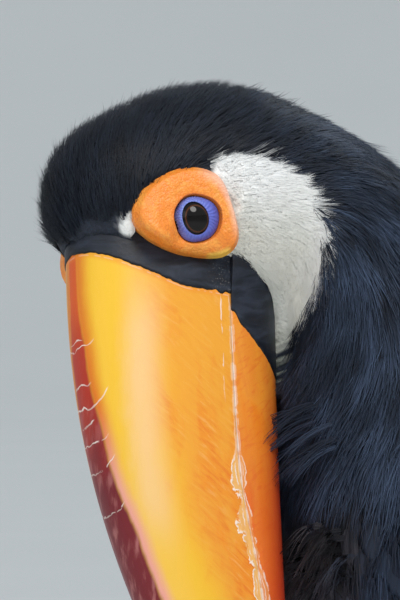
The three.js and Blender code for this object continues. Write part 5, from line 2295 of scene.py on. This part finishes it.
@dataclass
class Flight:
    """The wings' and the tail's long feathers.

    Attributes:
        root: The tail's root on the standing bird.
        slope: How the tail falls behind it.
        length: The tail's.
        half_width: Half the tail's width at its end.
        vanes: How many feathers it has.
        shingle: How each wing feather tilts over the next.
        stagger: How far each wing feather lies over the next.
    """

    head: Head
    skin: Skin
    root: tuple = (0.0, 72.0, 80.0)
    slope: float = math.radians(23.0)
    length: float = 150.0
    half_width: float = 33.0
    vanes: int = 10
    shingle: float = 0.075
    stagger: float = 0.12

    ROWS = (
        Row("primary_vanes", "primaries", Quill(13.0), 7,
            (0.50, 0.50), (-0.30, -0.86), (0.985, 0.80), (0.05, -0.80), 0.2),
        Row("secondary_vanes", "secondaries", Quill(15.5), 11,
            (0.30, 0.26), (0.90, -0.78), (0.90, 0.60), (0.80, -0.86), 1.0, 0.8),
        Row("greater_coverts", "", Quill(13.0, thick=0.4, shaft=0.25, rows=18), 12,
            (0.20, 0.14), (0.92, -0.84), (0.50, 0.36), (0.92, -0.88), 2.3),
    )

    def __post_init__(self) -> None:
        """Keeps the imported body's surface, which the wings lie on."""
        points, faces = [], []
        for name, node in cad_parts.items():
            if name.startswith(("trunk", "wing", "second", "primar", "rump", "neck")):
                mesh = node.data
                start = len(points)
                points += [tuple(v.co / MM) for v in mesh.vertices]
                faces += [tuple(i + start for i in p.vertices) for p in mesh.polygons]
        self.body = BVHTree.FromPolygons(points, faces)

    def _on_body(self, wing: Wing, run: Array, share: Array) -> Array:
        """Places on the body's side, from a wing's run and share.

        Args:
            wing: The wing.
            run: How far along it.
            share: How far across it.

        Returns:
            The places in the model's frame.
        """
        flat = wing.lay(run, share)
        made = np.empty(flat.shape[:-1] + (3,))
        sign = wing.side.value
        out = np.full(flat.shape[:-1], np.nan)
        for index in np.ndindex(out.shape):
            start = Vector((160.0 * sign, *flat[index])) + Vector(self.head.shift)
            hit = self.body.ray_cast(start, Vector((-sign, 0.0, 0.0)))[0]
            if hit is not None and (hit.x - self.head.shift[0]) * sign > 14:
                out[index] = (hit.x - self.head.shift[0]) * sign
        line = np.arange(len(out))
        good = ~np.isnan(out)
        out = np.interp(line, line[good], out[good]) if good.any() else np.full(len(out), 20.0)
        smooth = np.convolve(np.pad(out, 3, "edge"), np.ones(7) / 7, "valid")
        made[..., 0], made[..., 1:] = smooth * sign, flat
        return made + self.head.shift

    def _row(self, wing: Wing, row: Row, finish: Finish) -> Piece:
        """Lays one row of a wing's feathers, the upper ones over the lower ones.

        Args:
            wing: The wing.
            row: The row.
            finish: Their material.

        Returns:
            The piece.
        """
        shells = []
        sign = wing.side.value
        outward = np.array([sign, 0.0, 0.12])
        step = np.linspace(0, 1, row.quill.rows)
        for number, (root, tip) in enumerate(zip(*row.ends())):
            line = self._on_body(wing, mix(root[0], tip[0], step), mix(root[1], tip[1], step**0.8))
            way = unit(np.gradient(line, axis=0))
            out = unit(outward - way * (way @ outward)[:, None])
            side = np.cross(way, out) * sign
            side = side * np.sign(side[:, 2:3])
            tilt = unit(side - self.shingle * out)
            face = unit(out + self.shingle * side)
            line = line + out * (row.layer + self.stagger * (row.count - number))
            shells.append(row.quill.built(line, tilt, face, self.skin.spot(line[0]),
                                          Seed.WING_QUILLS + number))
        return Shell.joined(shells).piece(f"{row.name}_{wing.side.word}", finish)

    def wing(self, wing: Wing, finish: Finish) -> None:
        """Lays the primaries, the secondaries and the greater coverts of one wing."""
        for row in self.ROWS:
            replaced = [f"{row.node}_{wing.side.word}"] if row.node else []
            fit(self._row(wing, row, finish), "plumage_black", *replaced)

    def tail(self, finish: Finish) -> None:
        """Lays the tail's feathers, the middle ones uppermost."""
        way = np.array([0.0, math.cos(self.slope), -math.sin(self.slope)])
        up = np.array([0.0, math.sin(self.slope), math.cos(self.slope)])
        root = np.array(self.root) + self.head.shift
        quill = Quill(15.0, thick=0.5, shaft=0.5, rows=32)
        step = column(quill.rows)
        shells = []
        for number in range(self.vanes):
            place = (number + 0.5) / self.vanes * 2 - 1
            reach = self.length * (1 - 0.13 * abs(place) ** 2.2) - 4
            across = place * mix(9.0, self.half_width - 6.5, ease(0, 0.85, step))
            low = -0.42 * abs(place) * 5 - 0.0035 * across**2 - 1.5 * step * abs(place)
            line = root + way * (mix(-22, reach, step)) + up * (low + 0.8)
            line = line + np.array([1.0, 0.0, 0.0]) * across
            tilt = np.array([1.0, 0.0, 0.0]) - 0.10 * place * up
            side = np.broadcast_to(unit(tilt), line.shape)
            face = np.broadcast_to(unit(up + 0.10 * place * np.array([1.0, 0, 0])), line.shape)
            shells.append(quill.built(line, side, face, self.skin.spot(line[0]),
                                      Seed.TAIL_QUILLS + number))
        fit(Shell.joined(shells).piece("tail_vanes", finish), "plumage_black", "tail")


# ---------------------------------------------------------------- legs
@dataclass(frozen=True)
class Toe:
    """One toe: how far it turns from straight ahead, outwards below 0, and its length."""

    name: str
    turn: float
    length: float


@dataclass(frozen=True)
class Leg:
    """A bare leg and foot, with scales in front and pads below."""

    head: Head
    side: Side
    ankle: tuple = (29.0, 12.0, 52.0)
    foot: tuple = (31.0, -10.0, 8.5)
    radius: float = 4.1
    toe_height: float = 7.0
    claw_length: float = 12.0
    claw_radius: float = 2.3
    scale: float = 4.2
    around: int = 40
    toes: tuple = (
        Toe("outer_front", -14, 44),
        Toe("inner_front", 24, 33),
        Toe("outer_back", -152, 37),
        Toe("inner_back", 160, 24),
    )

    def _placed(self, points: Array) -> Array:
        """Places of the standing bird's left, on this side and in the model's frame."""
        return points * np.array([self.side.value, 1, 1]) + self.head.shift

    def _base(self) -> Array:
        """The place on the ground under the foot."""
        return np.array([self.foot[0], self.foot[1], 0.0])

    def _scutes(self, along: Array, turn: Array, front: Array) -> Array:
        """The relief of the scales: broad steps in front and small beads behind."""
        part = (along / self.scale) % 1.0
        step = 0.34 * (part**0.5 - 0.6) * (1 - ease(0.9, 1.0, part))
        beads = 0.14 * np.sin(2 * math.pi * along / 1.9) * np.sin(11 * turn)
        return step * front + beads * (1 - front)

    def shank(self, finish: Finish) -> Piece:
        """Makes the bare shank between the thigh's feathers and the toes."""
        start, end = np.array(self.ankle) + [0, 0, 4], np.array(self.foot) + [0, 0, -2]
        way = end - start
        length = float(np.linalg.norm(way))
        axis = way / length
        ahead = unit(np.array([0, -1.0, 0]) + axis * axis[1])
        across = np.cross(axis, ahead)
        run = column(110)
        turn = circle(self.around)
        joint = 1 + 0.30 * hump(run, 0.04, 0.10) + 0.22 * hump(run, 0.97, 0.08)
        front = ease(-0.1, 0.35, np.cos(turn))
        radius = self.radius * joint * (1 - 0.10 * np.sin(turn) ** 2)
        radius = radius + self._scutes(run * length, turn, front)
        closing = np.minimum(1, np.sqrt(np.clip(np.minimum(run, 1 - run) * 40, 0.02, 1)))
        radius = radius * closing
        rings = laid(start, (run * length, axis), (radius * np.cos(turn), ahead),
                     (radius * np.sin(turn), across))
        traits = {"step": (run * length / self.scale) % 1.0, "front": front, "sole": np.array(0.0)}
        return ring_body(self._placed(rings), traits).piece(f"shank_{self.side.word}", finish)

    def _way(self, toe: Toe) -> tuple[Array, Array]:
        """A toe's way and the way across it, on the left."""
        turn = math.radians(toe.turn)
        way = np.array([-math.sin(turn), -math.cos(turn), 0.0])
        return way, np.array([-way[1], way[0], 0.0])

    def toe(self, toe: Toe, finish: Finish) -> Piece:
        """Makes one toe, flat where it stands.

        Args:
            toe: Its way and length.
            finish: Its material.

        Returns:
            The piece.
        """
        way, across = self._way(toe)
        run = column(96)
        turn = circle(self.around)
        pads = 1 + 0.13 * np.cos(2 * 3 * math.pi * run)
        tall = self.toe_height * mix(1.15, 0.75, run) * pads
        closing = np.sqrt(np.clip(np.sin(math.pi * run), 0.0006, 1))
        top = np.sin(turn) > 0
        lift = tall / 2 + tall * np.where(top, 0.60, 0.8) * closing * np.sin(turn)
        out = tall / 2 * closing * np.cos(turn)
        front = ease(0.1, 0.5, np.sin(turn))
        relief = self._scutes(run * toe.length * 1.35, turn, front) * closing
        lift = np.maximum(lift + relief * np.sin(turn), 0.02)
        out = out + relief * np.cos(turn)
        rings = laid(self._base(), (run * toe.length, way), (out, across), (lift, UPWARD))
        traits = {"step": (run * toe.length * 1.35 / self.scale) % 1.0, "front": front,
                  "sole": ease(1.6, 0.4, lift)}
        body = ring_body(self._placed(rings), traits)
        return body.piece(f"toe_{toe.name}_scaled_{self.side.word}", finish)

    def claw(self, toe: Toe, finish: Finish) -> Piece:
        """Makes one curved claw.

        Args:
            toe: The toe that it ends.
            finish: Its material.

        Returns:
            The piece.
        """
        way, across = self._way(toe)
        run = column(30) ** 0.9
        turn = circle(20)
        thick = self.claw_radius * np.sqrt(np.clip(1 - run, 0.0004, 1))
        bend = run * 1.5
        along = toe.length - 3.5 + self.claw_length * np.sin(bend) * 0.92
        height = 3.6 + 2.2 * np.sin(run * math.pi) - 3.0 * run**2
        lift = np.maximum(height + thick * np.sin(turn) * np.cos(bend * 0.7), 0.05)
        rings = laid(self._base(), (along + thick * np.sin(turn) * np.sin(bend) * 0.6, way),
                     (thick * 0.72 * np.cos(turn), across), (lift, UPWARD))
        body = ring_body(self._placed(rings), {"tip": run})
        return body.piece(f"talon_{toe.name}_{self.side.word}", finish)

    def build(self, scales: Finish, horn: Finish) -> None:
        """Makes the whole leg."""
        fit(self.shank(scales), "leg_skin", f"tarsus_{self.side.word}")
        for toe in self.toes:
            fit(self.toe(toe, scales), "leg_skin", f"toe_{toe.name}_{self.side.word}")
            fit(self.claw(toe, horn), "claw_horn", f"claw_{toe.name}_{self.side.word}")


# ---------------------------------------------------------------- the whole bird
class Site(Enum):
    """Where a part of the loose plumage may grow: how far back and how high, and the reach."""

    ANYWHERE = (0.0, 0.0, math.inf)
    BY_BILL = (-46.0, 177.0, 10.0)
    WING_BEND = (-43.0, 136.0, 11.0)


@dataclass(frozen=True)
class Part:
    """A part of the loose plumage.

    Attributes:
        name: The start of its pieces' names.
        lock: Its kind of tuft.
        spacing: How far apart the roots are.
        near: How far from the skull's middle it starts.
        far: How far from there it ends.
        pale: Whether it is the white part.
        short: The shortest tuft, as a share of the full length.
        grown: The distance over which the tufts reach their full length.
        from_skin: Whether that distance is from the bare skin, not from the skull.
        site: The kind of site that it grows on.
    """

    name: str
    lock: Lock
    spacing: float
    near: float
    far: float
    pale: bool = False
    short: float = 1.0
    grown: tuple = (0.0, 1.0)
    from_skin: bool = False
    site: Site = Site.ANYWHERE

    def sizes(self, near_head: Array, off_skin: Array) -> Array:
        """Each tuft's length, as a share of the full length."""
        off = off_skin if self.from_skin else near_head
        return self.short + (1 - self.short) * ease(*self.grown, off)


class Area(Enum):
    """An area of the body: its feathers' spacing, length, width and lift, and its slot."""

    BACK = (6.2, 25.0, 11.0, 1.5), "plumage_black"
    BELLY = (6.6, 26.0, 12.0, 2.0), "plumage_black"
    WING = (5.5, 16.0, 9.0, 1.6), "plumage_black"
    RUMP = (5.0, 24.0, 9.0, 3.0), "plumage_white"
    VENT = (5.0, 24.0, 9.0, 3.0), "plumage_red"


@dataclass
class Coat:
    """The loose plumage of the head, the neck and the breast."""

    head: Head
    skin: Skin
    markings: Markings
    lie: Lie
    bill: Bill

    PARTS = (
        Part("crown_barbs", Lock(8.5, 0.28, 6, 0.8, 2.8, rise=0.7, ragged=0.5, loose=0.45), 1.45, 0, 47,
             short=0.45, grown=(14.0, 34.0)),
        Part("cheek_barbs", Lock(6.6, 0.15, 11, 0.9, 0.7, rise=0.4, stations=2, gloss=0.1, loose=0.3),
             1.34, 0, 200, pale=True, short=0.35, grown=(0.0, 14.0), from_skin=True),
        Part("neck_barbs", Lock(15.0, 0.34, 8, 1.7, 1.9, rise=0.45, ragged=0.45), 2.1, 47, 74,
             short=0.6, grown=(44.0, 64.0)),
        Part("breast_barbs", Lock(20.0, 0.38, 8, 2.3, 2.8, rise=0.3, ragged=0.4), 2.9, 74, 112),
        Part("flank_barbs", Lock(24.0, 0.46, 8, 2.9, 3.6, rise=0.3, stations=4, ragged=0.5), 3.6, 112, 152),
        Part("wisp_barbs", Lock(21.0, 0.36, 9, 1.4, 2.5, rise=2.4, stations=5, ragged=0.6, loose=0.2,
                                hugs=False, lean=(0.3, -1.8, 0.0)), 4.6, 40, 150, site=Site.BY_BILL),
        Part("bend_barbs", Lock(18.0, 0.36, 9, 2.2, 3.0, rise=2.6, stations=5, ragged=0.5, hugs=False,
                                lean=(0.4, -0.4, 1.0)), 3.4, 40, 170, site=Site.WING_BEND),
    )

    def _clear(self, points: Array) -> Array:
        """Which roots are clear of the bare skin, the bill and the wings."""
        seen = self.head.measure(points)
        half = self.bill.half_width(seen[:, 0])
        inside = (seen[:, 0] > 2) & (np.abs(seen[:, 2]) < half) & (
            seen[:, 1] < self.bill.culmen(seen[:, 0]) + 0.5) & (seen[:, 1] > self.bill.gonys(seen[:, 0]))
        size = self.bill.section(seen)[1]
        ahead = (size < 1.03) & (seen[:, 0] > self.markings.feather_line(seen[:, 1]) - 0.5)
        return (self.markings.bare(points) < 0.3) & ~inside & ~ahead

    def grow(self, part: Part, side: Side, seed: int, finish: Finish) -> Piece:
        """Grows one part of the coat on one side.

        Args:
            part: Its kind of tuft, and where it grows.
            side: The side of the bird.
            seed: Fixes the scatter.
            finish: Its material.

        Returns:
            The piece.
        """
        seats = self.skin.seats(part.spacing, seed)
        out = self._out(seats.points)
        seats = seats.where(self._clear(seats.points) & ((out >= 0) == (side.value > 0)))
        sizes = part.sizes(self.markings.near_head(seats.points), -self.markings.bare(seats.points))
        shown = seats.points + self.lie.at(seats.points) * (0.55 * part.lock.length * sizes)[:, None]
        keep = self._part(shown, part.pale, part.near, part.far)
        keep &= self._on_site(part.site, seats.points)
        seats, sizes, shown = seats.where(keep), sizes[keep], shown[keep]
        shell = part.lock.grown(self.skin, self.lie, seats, sizes, self.markings.traits(shown), seed + 1)
        return shell.piece(f"{part.name}_{side.word}", finish)

    def _on_site(self, site: Site, points: Array) -> Array:
        """Which roots are on a kind of site.

        Args:
            site: The kind of site.
            points: The roots.

        Returns:
            True for each root on it.
        """
        if site is Site.ANYWHERE:
            return np.full(len(points), True)
        stand = self.head.stand(points)
        off = np.linalg.norm(stand[:, 1:] - site.value[:2], axis=1)
        return (np.abs(stand[:, 0]) > 20) & (off < site.value[2])

    def _out(self, points: Array) -> Array:
        """How far to the left each point lies, from the head's middle to the body's."""
        away = ease(50, 110, self.markings.near_head(points))
        return mix(self.head.measure(points)[:, 2], points[:, 0], away)

    def _part(self, points: Array, pale: bool, low: float, high: float) -> Array:
        """Which roots are white or not, and between two distances from the skull."""
        away = self.markings.near_head(points) + 3 * Grain(Seed.BORDERS).at(points, 4.0)
        white = self.markings.white(points) > 0
        return (white == pale) & (away >= low) & (away < high)

    def _vanes(self, name: str, tree: VaneTree, vane: Piece, spacing: float, size: tuple,
               seed: int, area: Area, finish: Finish) -> Piece:
        """Lays small feathers over one area of the body.

        Args:
            name: The piece's name.
            tree: The nodes that set the vanes.
            vane: The vane.
            spacing: How far apart the roots are.
            size: Its length, width and lift.
            seed: Fixes the scatter.
            area: Where they grow.
            finish: Their material.

        Returns:
            The piece.
        """
        length, width, lift = size
        seats = self.skin.seats(spacing, seed)
        seats = seats.where(self._clear(seats.points) & self._in_area(area, seats.points))
        rng = np.random.default_rng(seed + 1)
        grow = 0.85 + 0.3 * rng.random(len(seats.points))
        guide = Lock(length, 1.0, stations=2)
        spots, outs = guide.paths(self.skin, self.lie, seats, grow, rng)
        start = spots[:, 0] + outs[:, 0] * (0.4 + 0.5 * rng.random((len(grow), 1)))
        end = spots[:, 2] + outs[:, 2] * (lift * (0.8 + 0.5 * rng.random((len(grow), 1))))
        chord = end - start
        long = np.linalg.norm(chord, axis=1)
        bulge = np.linalg.norm(spots[:, 1] + outs[:, 1] * lift * 0.5 - (start + end) / 2, axis=1)
        mesh = bpy.data.meshes.new("roots")
        mesh.vertices.add(len(start))
        set_points(mesh, start)
        marks = self.markings.traits(seats.points + 0.6 * chord)
        marks["tone"] = rng.random(len(start))
        size_of = np.stack([width * grow, long, np.maximum(bulge, 1.3)], -1) * MM
        spot = np.concatenate([seats.spots, np.zeros((len(start), 1))], 1)
        marks |= {"ahead": unit(chord), "out": outs[:, 1], "size": size_of, "spot": spot}
        set_traits(mesh, marks)
        return tree.grown(name, mesh, vane, finish)

    def _in_area(self, area: Area, points: Array) -> Array:
        """Which points belong to an area.

        Args:
            area: The area.
            points: The points.

        Returns:
            True for each point in it.
        """
        away = self.markings.near_head(points)
        wings = [Wing(self.head, side) for side in Side]
        under = np.any([w.covers(points, 0.0, 1.0, 0.9) for w in wings], axis=0)
        folded = np.any([w.covers(points, 0.30, 1.0, 0.8) for w in wings], axis=0)
        rump, vent = self.markings.rump(points) > -4, self.markings.vent(points) > -4
        stand = self.head.stand(points)
        upper = (stand[:, 2] - 130) + 0.62 * (stand[:, 1] - 8) > 0
        plain = ~rump & ~vent & ~under & (away >= 142)
        return {
            Area.RUMP: rump & ~folded,
            Area.VENT: vent & ~rump,
            Area.WING: under & ~folded & (away >= 60),
            Area.BACK: plain & upper,
            Area.BELLY: plain & ~upper,
        }[area]

    def build(self, finish: Finish) -> None:
        """Grows the loose plumage, ruffled in places on the left only, then the body's vanes."""
        for side in Side:
            for number, part in enumerate(self.PARTS):
                if side is Side.RIGHT and part.site is not Site.ANYWHERE:
                    continue
                piece = self.grow(part, side, Seed.TUFTS + 2 * number, finish)
                fit(piece, "plumage_white" if part.pale else "plumage_black")
        tree, vane = VaneTree(), Vane().build()
        for number, area in enumerate(Area):
            kind, slot = area.value
            piece = self._vanes(f"{area.name.lower()}_vanes", tree, vane, kind[0], kind[1:],
                                Seed.BODY_VANES + 2 * number, area, finish)
            fit(piece, slot)
        bpy.data.objects.remove(vane)


def main() -> None:
    """Builds the toucan, piece by piece."""
    logging.basicConfig(level=logging.INFO, format="%(message)s")
    head = Head.found()
    Studio(head).build()
    markings = Markings(head)
    plumage = PlumageFinish()
    horn = HornFinish()
    face = FaceFinish()
    bill = Bill(head)
    skin = Skin(head, markings, bill)
    fit(skin.build(plumage.skin()), "plumage_black", *Skin.STANDS_FOR)
    fit(bill.half(True, horn.upper()), "horn_orange", "maxilla")
    fit(bill.half(False, horn.lower()), "horn_orange", "mandible")
    band = horn.band()
    fit(bill.band(True, band), "horn_black", "maxilla_base")
    fit(bill.band(False, band), "horn_black", "mandible_base")
    bare, gloss = face.bare_skin(), face.eye()
    for side in Side:
        eye = Eye(head, skin, markings.orbit, side)
        fit(eye.bare_skin(bare), "bare_skin", f"orbital_skin_{side.word}")
        fit(eye.eyeball(gloss), "eye", f"eye_{side.word}")
    lie = Lie(head)
    Coat(head, skin, markings, lie, bill).build(plumage.coat())
    flight, quill = Flight(head, skin), QuillFinish().vane()
    legs = LegFinish()
    scales, claws = legs.scales(), legs.claws()
    for side in Side:
        flight.wing(Wing(head, side), quill)
        Leg(head, side).build(scales, claws)
    flight.tail(quill)


if __name__ == "__main__":
    main()
